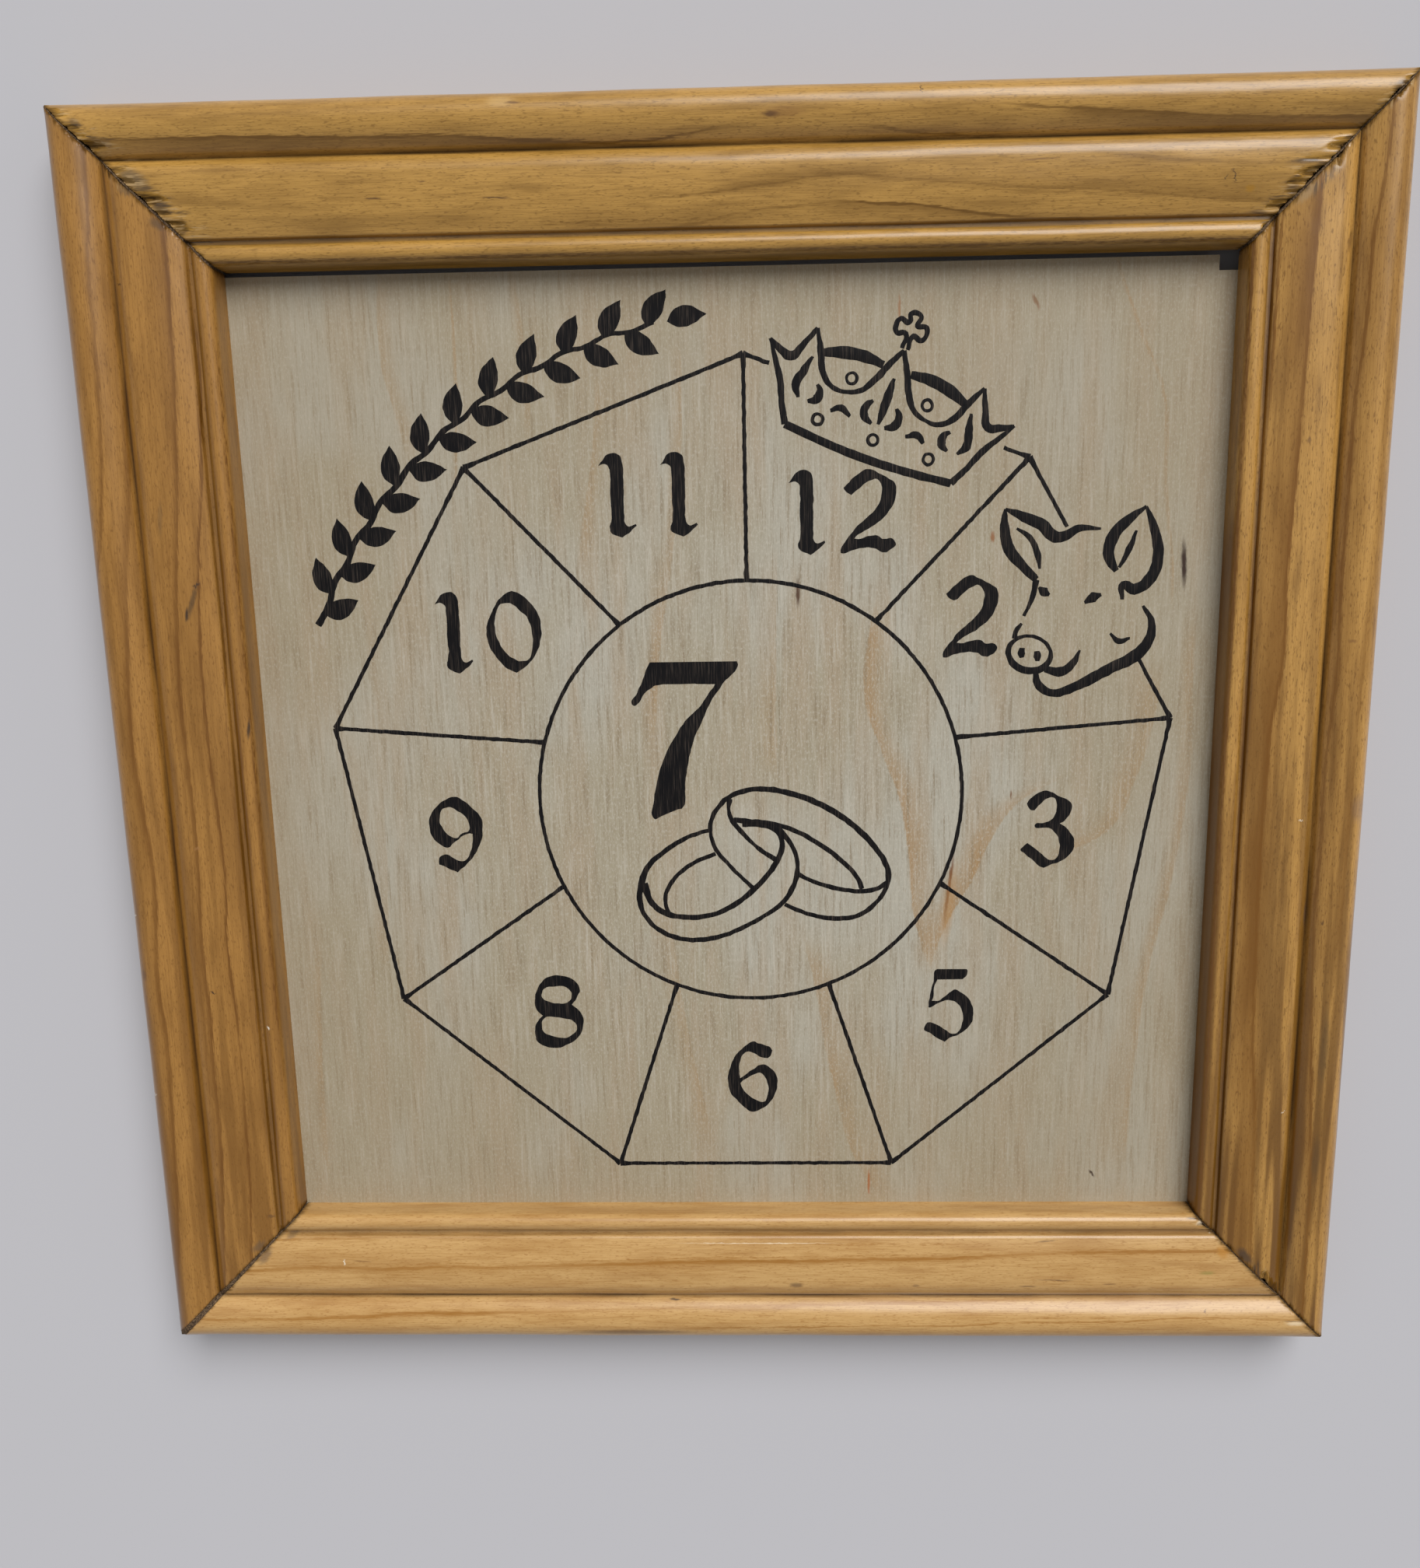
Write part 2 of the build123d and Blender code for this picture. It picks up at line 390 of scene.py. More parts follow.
# End, from, to (across the rail), number, longest, deepest
tornZones = {
    "top": [
        ("high", 1.5, 8.5, 6, 5.5, 0.6),
        ("high", 8.5, 14.8, 5, 9.0, 0.7),
        ("high", 17.0, 24.0, 5, 7.0, 0.6),
        ("high", 24.0, 35.5, 9, 9.0, 0.8),
        ("low", 3.0, 10.0, 6, 3.0, 0.5),
        ("low", 17.5, 24.5, 7, 9.0, 0.6),
        ("low", 25.0, 35.5, 12, 7.0, 0.8),
        ("low", 38.0, 42.0, 3, 2.5, 0.5),
    ],
    "right": [
        ("high", 3.0, 9.0, 4, 2.0, 0.5),
        ("high", 20.0, 27.0, 5, 5.0, 0.5),
        ("low", 16.0, 24.0, 9, 5.0, 0.8),
    ],
    "left": [
        ("low", 16.0, 22.0, 4, 3.0, 0.4),
    ],
    "bottom": [
        ("high", 37.6, 41.5, 3, 3.4, 0.9),
    ],
}


def lineTo(bm, vert, y, z, steps):
    stride = (Vector((vert.co.x, y * mm, z * mm)) - vert.co) / steps
    for _ in range(steps):
        vert = bmesh.ops.extrude_vert_indiv(bm, verts=[vert])["verts"][0]
        vert.co += stride
    return vert


def arcTo(bm, vert, y, z, crest, steps):
    # an arc that is level at its crest; one of its ends is the crest
    start = (vert.co.y / mm, vert.co.z / mm)
    far = start if (y, z) == crest else (y, z)
    across, down = far[0] - crest[0], crest[1] - far[1]
    centreZ = crest[1] - (across ** 2 + down ** 2) / (2 * down)
    turn = atan2(z - centreZ, y - crest[0]) - atan2(start[1] - centreZ, start[0] - crest[0])
    turn = (turn + pi) % (2 * pi) - pi
    made = bmesh.ops.spin(bm, geom=[vert], cent=(vert.co.x, crest[0] * mm, centreZ * mm), axis=(1, 0, 0),
                          angle=turn, steps=steps, use_duplicate=False)
    return made["geom_last"][0]


def drawSection(bm, start, fine):
    m = moulding
    width = m["width"]
    vert = bmesh.ops.create_vert(bm, co=(start * mm, 0, 0))["vert"][0]
    vert = lineTo(bm, vert, 0, m["outerStart"], 6)
    vert = arcTo(bm, vert, *m["outerCrest"], m["outerCrest"], 9 * fine)
    vert = arcTo(bm, vert, *m["beadEnd"], m["outerCrest"], 9 * fine)
    vert = lineTo(bm, vert, *m["quirk"], 2)
    vert = arcTo(bm, vert, *m["ovoloCrest"], m["ovoloCrest"], 7 * fine)
    vert = arcTo(bm, vert, *m["ovoloEnd"], m["ovoloCrest"], 16 * fine)
    vert = lineTo(bm, vert, *m["grooveNear"], 2)
    vert = lineTo(bm, vert, *m["grooveFar"], 1)
    vert = arcTo(bm, vert, *m["innerCrest"], m["innerCrest"], 4 * fine)
    vert = arcTo(bm, vert, width, m["sightTop"], m["innerCrest"], 5 * fine)
    vert = lineTo(bm, vert, width, m["rebateTop"], 5)
    vert = lineTo(bm, vert, m["rebateWall"], m["rebateTop"], 2)
    vert = lineTo(bm, vert, m["rebateWall"], 0, 2)
    lineTo(bm, vert, 0, 0, 4)
    bmesh.ops.remove_doubles(bm, verts=bm.verts[:], dist=0.01 * mm)


def drawOut(bm, spans):
    edges = bm.edges[:]
    for length, steps in spans:
        made = bmesh.ops.spin(bm, geom=edges, cent=(0, 0, 0), axis=(1, 0, 0), angle=0,
                              dvec=(length * mm / steps, 0, 0), steps=steps, use_duplicate=False)
        edges = [part for part in made["geom_last"] if isinstance(part, bmesh.types.BMEdge)]


def cutMitre(bm, end, gap):
    # end is -1 or 1; the joint's gap is split between the two rails
    inner, outer = (part / sqrt(2) for part in gap)
    near = Vector((end * (railHalf - outer), 0, 0))
    far = Vector((end * (railHalf - moulding["width"] - inner), moulding["width"], 0))
    along = far - near
    outwards = Vector((along.y, -along.x, 0)) * end
    bmesh.ops.bisect_plane(bm, geom=bm.verts[:] + bm.edges[:] + bm.faces[:], dist=0.0001 * mm,
                           plane_co=near * mm, plane_no=outwards, clear_outer=True)
    outwards.normalize()

    def onPlane(vert):
        return abs((vert.co - near * mm).dot(outwards)) < 0.001 * mm

    rim = [edge for edge in bm.edges if edge.is_boundary and all(onPlane(vert) for vert in edge.verts)]
    bmesh.ops.holes_fill(bm, edges=rim, sides=0)


def endSign(end):
    return 1 if end == "high" else -1


def splinters(side, dice):
    made = []
    for end, low, high, count, longest, deepest in tornZones[side]:
        for _ in range(count):
            across = dice.uniform(low, high)
            length = dice.uniform(*splinter["length"]) * longest
            width = dice.uniform(*splinter["width"])
            depth = dice.uniform(*splinter["depth"]) * deepest
            made.append((endSign(end), across, length, width, depth))
    return made


def weather(bm, side, seed, dice):
    # hand sanding over the moulded face, splinters at the mitres, and masks for the material
    torn = bm.verts.layers.float.new("torn")
    hollow = bm.verts.layers.float.new("hollow")
    frayed = bm.verts.layers.float.new("frayed")
    marks = splinters(side, dice)
    bm.normal_update()
    quirkAt, grooveAt = moulding["quirk"][0], moulding["grooveFar"][0] - hollows["grooveInset"]
    (waveX, waveY, waveZ), (fineX, fineY, fineZ) = sanding["wave"], sanding["ripple"]
    for vert in bm.verts:
        x, y, z = vert.co / mm
        rebate = z < moulding["rebateTop"] + 0.5
        foot = y < 0.01 and z < sanding["untouched"]
        if rebate or foot:
            continue
        vert[hollow] = max(bell(y - quirkAt, hollows["quirk"]),
                           hollows["grooveShare"] * bell(y - grooveAt, hollows["groove"]))
        fromMitre = railHalf - y - abs(x)
        for end, low, high, _, longest, _ in tornZones[side]:
            if x * endSign(end) > 0 and low - 1 < y < high + 1:
                vert[frayed] = max(vert[frayed], 1 - max(0, fromMitre) / (splinter["frayed"] * longest))
        away = min(1, max(0, fromMitre) / sanding["calmReach"])
        calm = sanding["calmest"] + (1 - sanding["calmest"]) * away
        wave = smoothNoise(x / waveX, y / waveY, z / waveZ, seed)
        ripple = smoothNoise(x / fineX, y / fineY, z / fineZ, seed + sanding["rippleSeed"])
        sink = wave * sanding["depth"] * calm + ripple * sanding["fineDepth"]
        tear = 0
        for end, across, length, width, depth in marks:
            if x * end < 0 or fromMitre > length or abs(y - across) > 3 * width:
                continue
            tear += depth * (1 - fromMitre / length) ** 0.5 * bell(y - across, width)
        vert[torn] = min(1, tear / splinter["dark"])
        vert.co -= vert.normal * (sink + min(tear, splinter["deepest"])) * mm


def buildRail(side):
    node = side + "_rail"
    seed, fine = railWear[side]
    bm = bmesh.new()
    drawSection(bm, -railHalf, fine)
    end = (railMesh["end"], railMesh["end"] * fine + railMesh["endSteps"])
    drawOut(bm, [end, (2 * (railHalf - railMesh["end"]), railMesh["middleSteps"]), end])
    for end, gap in zip((-1, 1), railGaps[side]):
        cutMitre(bm, end, gap)
    bmesh.ops.triangulate(bm, faces=[face for face in bm.faces if len(face.verts) > 4])
    bmesh.ops.recalc_face_normals(bm, faces=bm.faces[:])
    weather(bm, side, seed, random.Random(seed))
    bm.transform(railPlaces[side])
    mesh = bpy.data.meshes.new(node + "Moulded")
    bm.to_mesh(mesh)
    bm.free()
    piece = linkMesh(side + "RailMoulded", mesh)
    carvePockets(piece, side)
    shadeRounded(piece.data, railMesh["sharp"])
    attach(piece, "root")
    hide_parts(node)
    return piece


def carvePockets(piece, side):
    # pockets on the back for the corner nails and the panel's points, cut with copies of those nodes
    bm = bmesh.new()
    corners = [name for name in cadNodes if name.startswith("v_nail") and side in name]
    tabs = [name for name in cadNodes if name.startswith("holding_point_" + side)]
    for name in corners + tabs:
        bm.from_mesh(cadNodes[name].data)
    bmesh.ops.remove_doubles(bm, verts=bm.verts[:], dist=0.002 * mm)
    nearBack = 1 * mm
    for vert in bm.verts:
        if vert.co.z < nearBack:  # a nail's pocket is open at the back
            vert.co.z = -nearBack
    bmesh.ops.recalc_face_normals(bm, faces=bm.faces[:])
    mesh = bpy.data.meshes.new("pocketCutter")
    bm.to_mesh(mesh)
    bm.free()
    cutter = linkMesh("pocketCutter", mesh)
    cut = piece.modifiers.new("pockets", "BOOLEAN")
    cut.operation = "DIFFERENCE"
    cut.solver = "EXACT"
    cut.object = cutter
    carved = evaluatedMesh(piece)
    piece.modifiers.clear()
    piece.data = carved
    bpy.data.objects.remove(cutter)


# Varnished pine: every rail is cut from another place in the log
pineCuts = {
    "top": {"Heart": (-60, 150, -30), "Ring Gap": 7.5, "Wander": 16,
            "Early": tone(184, 140, 68), "Late": tone(108, 72, 2)},
    # the bottom rail's wood is paler, and its early wood tone also holds a painted sheen
    "bottom": {"Heart": (40, 140, -40), "Ring Gap": 9, "Wander": 14,
               "Early": tone(196, 156, 98), "Late": tone(146, 94, 14)},
    "left": {"Heart": (10, 130, -20), "Ring Gap": 6.5, "Wander": 5,
             "Early": tone(166, 119, 54), "Late": tone(108, 66, 0)},
    "right": {"Heart": (0, -90, -34), "Ring Gap": 6, "Wander": 6,
              "Early": tone(192, 145, 74), "Late": tone(116, 72, 0)},
}
varnish = {"Roughness": 0.5, "Coat Weight": 1.0, "Coat Roughness": 0.29, "Specular IOR Level": 0.05}
# In each of its ranges the first two numbers are read off, and the last two say what they become
pineLook = {
    "grimeAndShade": tone(52, 32, 14),
    "grimeAndShadePatches": (0.3, 0.7, 0.45, 0.85),
    "tornWood": tone(56, 40, 24),
    "tornDark": (0.15, 0.8, 0, 0.45),
    "paleStrand": tone(196, 164, 116),
    "paleStrands": (0.46, 0.36, 0, 0.5),
    "darkStrands": (0.54, 0.66, 0, 0.7),
    "generalGrain": (15.5, 11, 0.06, 0.75),  # faint on the face, where the lines are given one by one
    "face": (12.5, 15.5),
    "mitreRagged": -4.4,
    "mitreDark": (0, -2.2, 0, 0.7),
    "endShade": (-70, 80),
    "endBands": (0.42, 0.58, 0.25, 1.2),
    "grainRoughness": (0.3, 0.7, 0.36, 0.5),
    "tornRoughness": 0.35,
    "fibreBump": 0.5,
    "ringBump": 0.25,
    "bump": 0.09,
}
# painted shade towards one end of each side rail
shadedEnd = {"left": (0.42, 0.6), "right": (-0.42, 0.8)}  # how fast it darkens along the rail, and how much
# each rail's dark wood tone, for its patches and specks, and the colour of the painted shade at the side
# rails' ends
railDarkWoodAndShade = {
    "top": tone(122, 86, 26),
    "bottom": tone(156, 110, 54),
    "left": tone(110, 70, 8),
    "right": tone(100, 64, 8),
}


def ring(before, after, strength, start=-220, stop=220, broken=0, offset=0):
    return {"Before": before, "After": after, "Strength": strength, "Start": start, "Stop": stop,
            "Broken": broken, "offset": offset}


# Growth rings on the moulded faces, and a few bands of painted shade: knots (along the rail, across it),
# then how each is drawn
ringLines = {
    "top": [
        ([(-188, 12.8), (-171, 12.5), (-151, 12.2), (-129, 11.3), (-105, 9.6), (-85, 8.4), (-69, 6.5),
          (-50, 5)], [ring(0.4, 0.7, 0.55, stop=-78), ring(0.6, 5, 0.5, stop=-95)]),
        ([(-90, 14.8), (-71, 14.4), (-56, 13.6), (-42, 12), (-28, 10.4)], [ring(0.5, 0.6, 0.85, -76, -40)]),
        ([(-8, 11.4), (3, 11.8), (10, 12.5), (19, 13.5), (30, 13.8), (46, 13.2), (64, 12.3), (77, 11.5),
          (101, 11.4), (128, 10.7), (165, 10.5), (188, 10.4)],
         [ring(0.5, 0.7, 0.85, 2), ring(0.6, 4.5, 0.55, 40)]),
        ([(-188, 24.6), (-151, 23.8), (-124, 22.3), (-109, 20.7), (-92, 18.8)],
         [ring(0.9, 1.4, 0.4, -165, -104)]),
        ([(-188, 33), (-150, 32.6), (-133, 31.8), (-114, 30), (-96, 28.7), (-78, 27.7), (-60, 26.2),
          (-46, 24.8), (-33, 23.8), (-14, 25.5), (9, 28), (40, 29.5)],
         [ring(0.5, 0.5, 0.55, -150, 20, 0.3), ring(4.5, 1.2, 0.4, -150, 0),
          ring(0.5, 0.5, 0.4, -120, -60, 0.5, 1.1)]),
        ([(-120, 36.6), (-95, 35.8), (-78, 34.8), (-69, 33.8), (-56, 32), (-42, 31), (-33, 30.5),
          (-20, 30.4)], [ring(0.4, 0.6, 0.95, -84, -34), ring(0.5, 5, 0.4, -100, -30)]),
        ([(-40, 30.9), (-12, 31.8), (9, 35), (26, 37)], [ring(0.4, 0.6, 0.5, -28, 14)]),
        ([(-188, 33.7), (188, 33.9)], [ring(0.6, 0.7, 0.7, -2, 52, 0.8)]),
        ([(-188, 42.0), (188, 42.0)], [ring(0.6, 1.1, 0.9, broken=0.35)]),
    ],
    "bottom": [
        ([(-188, 8.4), (-160, 8.0), (-142, 8.4), (-124, 9.2), (-111, 9.9), (-82, 10.2), (-60, 10.6),
          (-24, 11.6), (9, 12.3), (46, 12.8), (70, 13.2), (92, 13.9), (120, 14.7)],
         [ring(0.7, 0.9, 0.4, stop=96), ring(1.3, 1.2, 0.5, -150, -82)]),
        ([(-24, 5.2), (10, 5.6), (37, 6.2), (74, 6.6), (84, 7.3), (110, 7.7), (125, 8), (137, 8.8),
          (157, 8.9), (188, 8.2)], [ring(0.4, 0.5, 0.5, -16), ring(0.4, 0.4, 0.45, 88, 122, 0.3, 1.4)]),
        ([(-188, 25), (-158, 25.1), (-142, 26), (-114, 25.6), (-100, 26.1), (-78, 26), (-60, 26.6),
          (-42, 27.1), (-24, 27.6), (-5, 28.1), (10, 28), (37, 28.5), (64, 28.9), (84, 29.9), (101, 30.6),
          (128, 31), (150, 31.2), (188, 31.4)],
         [ring(1.0, 0.8, 0.55), ring(2.6, 1.4, 0.35), ring(0.4, 0.4, 0.5, -170, 60, 0.45, 1.2)]),
        ([(-188, 35), (-147, 34.9), (-125, 35.1), (-110, 35.8)], [ring(0.5, 0.5, 0.55, stop=-120)]),
        ([(-188, 33), (188, 33.4)], [ring(0.5, 0.5, 0.5, 20, 80, 0.8)]),
    ],
    "left": [
        ([(-188, 11.3), (-160, 11.1), (-145, 9.8), (-124, 9.4), (-102, 8.4), (-87, 7.1), (-71, 5),
          (-60, 1.8), (-52, -3)], [ring(1.3, 0.7, 0.6, stop=-54)]),
        ([(-125, 15.8), (-105, 14.5), (-85, 13.5), (-69, 11.8), (-60, 10.7), (-42, 9.6), (-24, 8.2),
          (-8, 7.8), (10, 8.6), (26, 9.5), (37, 9.5), (55, 8.1), (68, 7.7), (85, 8.4), (101, 7.8),
          (128, 6.5), (146, 5.5), (165, 3.2), (188, 0)],
         [ring(1.7, 0.8, 0.68, -112), ring(4.5, 0.4, 0.22, -60)]),
        ([(-188, 31.6), (-155, 31.4), (-133, 30.9), (-114, 30.2), (-96, 28.9), (-78, 27.5), (-60, 25.5),
          (-42, 24), (-24, 23.1), (-5, 23.3), (10, 23.6), (28, 23.3), (46, 22.3), (61, 22), (74, 22.4),
          (92, 21.8), (110, 21.8), (128, 21.1), (146, 19.8), (165, 18.2), (188, 16)],
         [ring(1.7, 0.6, 0.95), ring(5.5, 0.4, 0.25), ring(0.7, 0.5, 0.4, -70, 120, 0.2, -2.1)]),
        ([(-188, 36.8), (-145, 36.5), (-114, 36.4), (-100, 35.6), (-85, 34.5), (-71, 32.7), (-53, 31.1),
          (-34, 30), (-14, 29.7), (9, 30.3), (19, 30.7), (35, 30.7), (52, 29.5), (65, 29.8), (83, 30.3),
          (110, 29.8), (137, 29.1), (159, 27.5), (188, 25)],
         [ring(0.8, 0.5, 0.85, -135), ring(3.6, 0.4, 0.22, -70)]),
        ([(-60, 36.4), (-34, 36), (-18, 35.1), (10, 35.1), (20, 35.7), (64, 35.6), (100, 35.9),
          (150, 36.2)], [ring(0.4, 0.4, 0.6, -55, 130, 0.3)]),
        # partly a stain and partly painted shade: a dark band over the groove and the inner bead
        ([(-188, 38.2), (188, 38.4)],
         [ring(2.0, 1.6, 0.4), ring(1.8, 1.4, 0.65, -66, 30), ring(1.4, 1.3, 0.5, 96, 122)]),
        ([(-188, 42.2), (188, 42.2)], [ring(0.5, 0.5, 0.95, -120, 84, 0.55)]),
    ],
    "right": [
        ([(-188, 8.5), (-176, 8.6), (-142, 8.9), (-127, 9.5), (-100, 10.8), (-69, 12.3), (-49, 12.9),
          (-20, 12.8), (0, 13), (14, 12.5), (28, 11.8), (50, 12.4), (74, 12.3), (101, 12.3), (124, 11.1),
          (143, 10.9), (157, 9.5), (177, 8.4), (188, 8.2)],
         [ring(0.9, 0.7, 0.62), ring(7.5, 0.6, 0.38, -60), ring(0.6, 3.8, 0.42)]),
        ([(-60, 5.6), (0, 5.5), (28, 5), (59, 3.2), (101, 3.4), (188, 3.4)], [ring(0.5, 3, 0.3, -55)]),
        ([(-188, 14), (188, 14)], [ring(0.7, 0.6, 0.85, stop=-90), ring(0.5, 0.5, 0.4, -90, 190, 0.5)]),
        ([(-188, 25.3), (-160, 25.5), (-142, 26.2), (-114, 26.8), (-100, 28), (-85, 29.1), (-60, 29.8),
          (-33, 30.2), (0, 30.1), (10, 29.8), (23, 28.4), (30, 27.5), (55, 28), (74, 27.5), (101, 26.9),
          (128, 26.4), (146, 25.9), (165, 25.3), (188, 25)],
         [ring(0.9, 0.9, 0.7), ring(0.6, 11, 0.62), ring(5, 0.4, 0.35, -112, 24)]),
        ([(70, 35.6), (95, 35.4), (120, 35.2), (154, 34.8), (188, 34.5)], [ring(0.8, 0.6, 0.7, 98)]),
        ([(-188, 42), (188, 42)], [ring(0.9, 1.2, 0.95, broken=0.25)]),
        # painted shade over the sight wall, towards the rail's low end
        ([(-188, 42.8), (188, 42.8)], [ring(0.6, 3, 0.85, stop=70)]),
        ([(-188, 36.2), (188, 36.2)], [ring(0.7, 0.8, 0.7)]),
    ],
}

# Knots, resin pips, scuffs, chips and other marks: place, half length and half width, slant, tone, strength
railMarks = {
    "top": [
        ((-13.6, 8.6), (3.2, 1.1), 0, (66, 38, 14), 0.8), ((-17, 8.2), (8, 2.2), 0, (120, 78, 36), 0.4),
        ((-54, 3.2), (0.35, 1.7), 5, (62, 38, 16), 0.85), ((60, 3.6), (5.5, 2.0), 0, (206, 170, 112), 0.5),
        ((56.5, 4.1), (3, 0.5), 0, (96, 62, 30), 0.75), ((62.7, 27.5), (5, 0.35), -3, (70, 42, 16), 0.8),
        ((97, 26.9), (3, 0.35), 0, (78, 48, 18), 0.75), ((83, 23), (1.6, 0.4), 0, (90, 58, 26), 0.6),
        ((-143.6, 29.8), (1.9, 1.2), 0, (164, 116, 20), 0.7),
        ((-139, 26.6), (0.35, 2.4), 14, (62, 44, 26), 0.8),
        ((-136.5, 27), (0.3, 1.2), -25, (62, 44, 26), 0.7), ((-86, 21.4), (7, 0.3), 2, (112, 74, 36), 0.6),
        ((163.5, 20.6), (7, 3.6), -35, (84, 72, 52), 0.7), ((157, 27.6), (4.5, 3), -40, (66, 52, 36), 0.7),
        ((152, 33), (2.6, 2.4), 0, (58, 44, 30), 0.6), ((172, 11.4), (4.5, 1.3), 0, (84, 62, 38), 0.65),
        ((177.5, 6.4), (2.6, 1.7), -35, (72, 56, 38), 0.6), ((-158, 23.4), (7, 1.0), 3, (70, 50, 30), 0.65),
        ((-155, 30), (3, 3.4), 0, (64, 46, 28), 0.5), ((-147, 35.3), (4.5, 0.7), 0, (76, 52, 28), 0.6),
        ((-181, 6.2), (3.4, 2.6), 40, (88, 68, 46), 0.7), ((-170, 19.6), (4, 2), 30, (112, 88, 58), 0.5),
    ],
    "bottom": [
        ((17.6, 20), (3, 1.3), 0, (92, 66, 40), 0.65), ((92, 19.5), (3.6, 0.4), 0, (104, 74, 42), 0.7),
        ((101, 21.7), (7.5, 0.32), -2, (96, 66, 36), 0.7), ((118, 20.4), (3, 0.4), 0, (120, 84, 46), 0.6),
        ((56, 19.8), (1.4, 0.8), 0, (110, 80, 50), 0.5), ((149, 24.2), (3.6, 0.9), 0, (140, 128, 62), 0.6),
        ((154, 31), (2.6, 3.2), 0, (176, 118, 30), 0.6), ((159.8, 28.6), (1.7, 1.3), 0, (70, 52, 38), 0.85),
        ((177.6, 7.4), (4.2, 1.1), 0, (226, 204, 168), 0.7), ((176, 8.1), (3.4, 0.3), 0, (92, 66, 40), 0.8),
        # the long streak at -36 darkens the bottom rail's outer bead
        ((149, 11), (0.4, 1), -20, (96, 62, 30), 0.8), ((-36, 3.6), (27, 1.5), 0, (62, 44, 28), 0.55),
        ((-22, 13.9), (2.6, 0.3), 0, (50, 36, 24), 0.85),
        ((-130, 27.6), (0.4, 1.4), 12, (238, 228, 208), 0.8),
        ((5, 33.6), (33, 0.16), 0, (236, 218, 190), 0.7),
        ((147, 40.6), (2.2, 1.5), 0, (232, 214, 186), 0.9), ((-156, 29.6), (4.5, 2), 50, (92, 74, 58), 0.6),
        ((-147, 36.4), (4, 1.4), 30, (98, 80, 62), 0.5), ((-178, 12), (4, 1.6), 50, (112, 88, 64), 0.5),
        ((98, 34.2), (4, 0.3), 4, (104, 74, 44), 0.7), ((0, 44), (5, 0.8), 0, (138, 104, 78), 0.5),
        ((-124, 28), (4.5, 0.35), -4, (120, 78, 34), 0.7),
    ],
    "left": [
        ((-52, 29), (7.6, 1.1), -19, (62, 44, 24), 0.65),
        ((-48.5, 27.2), (2.8, 0.55), -8, (44, 28, 14), 0.9),
        ((-57, 30.6), (1.6, 0.5), -60, (46, 30, 16), 0.8), ((68, 23.8), (0.4, 1.2), 0, (46, 26, 8), 0.9),
        ((-140.5, 17.2), (0.35, 1.2), -8, (60, 36, 14), 0.85), ((62, 3), (2.6, 1.4), 0, (92, 58, 24), 0.6),
        ((43, 1.3), (0.35, 1.4), 12, (226, 218, 204), 0.85),
        ((102, 1.5), (0.4, 1.5), 12, (226, 218, 204), 0.85),
        ((80.5, 39.4), (0.6, 0.6), 0, (232, 224, 210), 0.9),
        ((22, 23.6), (0.7, 1.5), 10, (148, 104, 56), 0.7), ((-76, 22.4), (7, 1.0), -6, (96, 72, 40), 0.4),
        ((-165, 22), (3.4, 2.4), 50, (92, 74, 50), 0.6), ((-156, 29.5), (3, 1.8), 50, (66, 50, 32), 0.6),
        ((-14, 41.6), (4, 0.6), -6, (44, 30, 16), 0.85), ((145, 34.6), (0.9, 1.6), 0, (82, 54, 26), 0.6),
        ((155, 30), (3.4, 2), -50, (88, 70, 50), 0.6),
    ],
    "right": [
        ((-124, 8), (11, 1.7), 0, (84, 60, 26), 0.5), ((-88, 8), (18, 1.9), 0, (82, 60, 28), 0.55),
        ((-158, 27.4), (4.6, 2.2), 40, (56, 42, 30), 0.8),
        ((157, 29.2), (4.6, 2.4), -40, (164, 134, 92), 0.7),
        ((158.5, 30.6), (1, 3), -20, (62, 46, 28), 0.7),
        ((144.5, 16.4), (4.4, 1.1), -6, (86, 56, 30), 0.55),
        ((163, 22), (3.4, 1.6), -40, (98, 74, 46), 0.55), ((-13, 3), (6, 3), 0, (112, 90, 78), 0.4),
        ((-16.7, 19.4), (0.3, 1), -15, (232, 222, 204), 0.8),
        ((-109, 18.5), (0.3, 1), 0, (224, 212, 190), 0.6), ((-46, 15.4), (5, 0.9), 0, (92, 74, 62), 0.55),
        ((36, 8.6), (0.9, 1.6), 0, (110, 70, 34), 0.5), ((92, 24.4), (1.2, 0.9), 0, (104, 72, 38), 0.6),
        ((-48, 11), (0.8, 0.6), 0, (70, 44, 18), 0.7),
    ],
}
railGrain = (2.4, 0.6, 0.6)


def shadeTowardsEnd(tree, side, point, along, colour):
    # painted shade: one end of the rail is darkened, in long soft bands
    heading, deepest = shadedEnd[side]
    darker = ease(tree, times(tree, along, heading), *pineLook["endShade"], 0, deepest)
    bands = ease(tree, cloud(tree, point, (90, 4, 4), 1), *pineLook["endBands"])
    return tint(tree, times(tree, darker, bands), colour, railDarkWoodAndShade[side])


def drawRings(tree, side, point, along, colour):
    noises = fibreNoise(tree, point)
    for knots, strokes in ringLines[side]:
        ruledAt = handRuled(tree, along, knots)
        for stroke in strokes:
            inputs = {"Point": point, "At": ruledAt, **stroke, **noises}
            offset = inputs.pop("offset")
            if offset:
                inputs["At"] = calc(tree, "ADD", ruledAt, offset)
            mask = useGroup(tree, latewood, inputs)["Mask"]
            colour = tint(tree, mask, colour, pineCuts[side]["Late"])
    return colour


def darkMitre(tree, point, parts):
    # dust and burns along the joint, with a ragged edge
    inwards = calc(tree, "ADD", parts["Y"], calc(tree, "ABSOLUTE", parts["X"]))
    fromMitre = calc(tree, "SUBTRACT", railHalf, inwards)
    ragged = times(tree, cloud(tree, point, (5, 1.3, 1.3), 3, 0.6), pineLook["mitreRagged"])
    return ease(tree, calc(tree, "ADD", fromMitre, ragged), *pineLook["mitreDark"])


def tornStrands(tree, point, colour):
    # pale and dark strands wherever the wood is frayed
    zone = ease(tree, attribute(tree, "frayed"), 0, 0.45)
    strands = cloud(tree, point, (9, 0.9, 0.9), 2, 0.7)
    pale = times(tree, zone, ease(tree, strands, *pineLook["paleStrands"]))
    dark = times(tree, zone, ease(tree, strands, *pineLook["darkStrands"]))
    return tint(tree, dark, tint(tree, pale, colour, pineLook["paleStrand"]), pineLook["tornWood"])


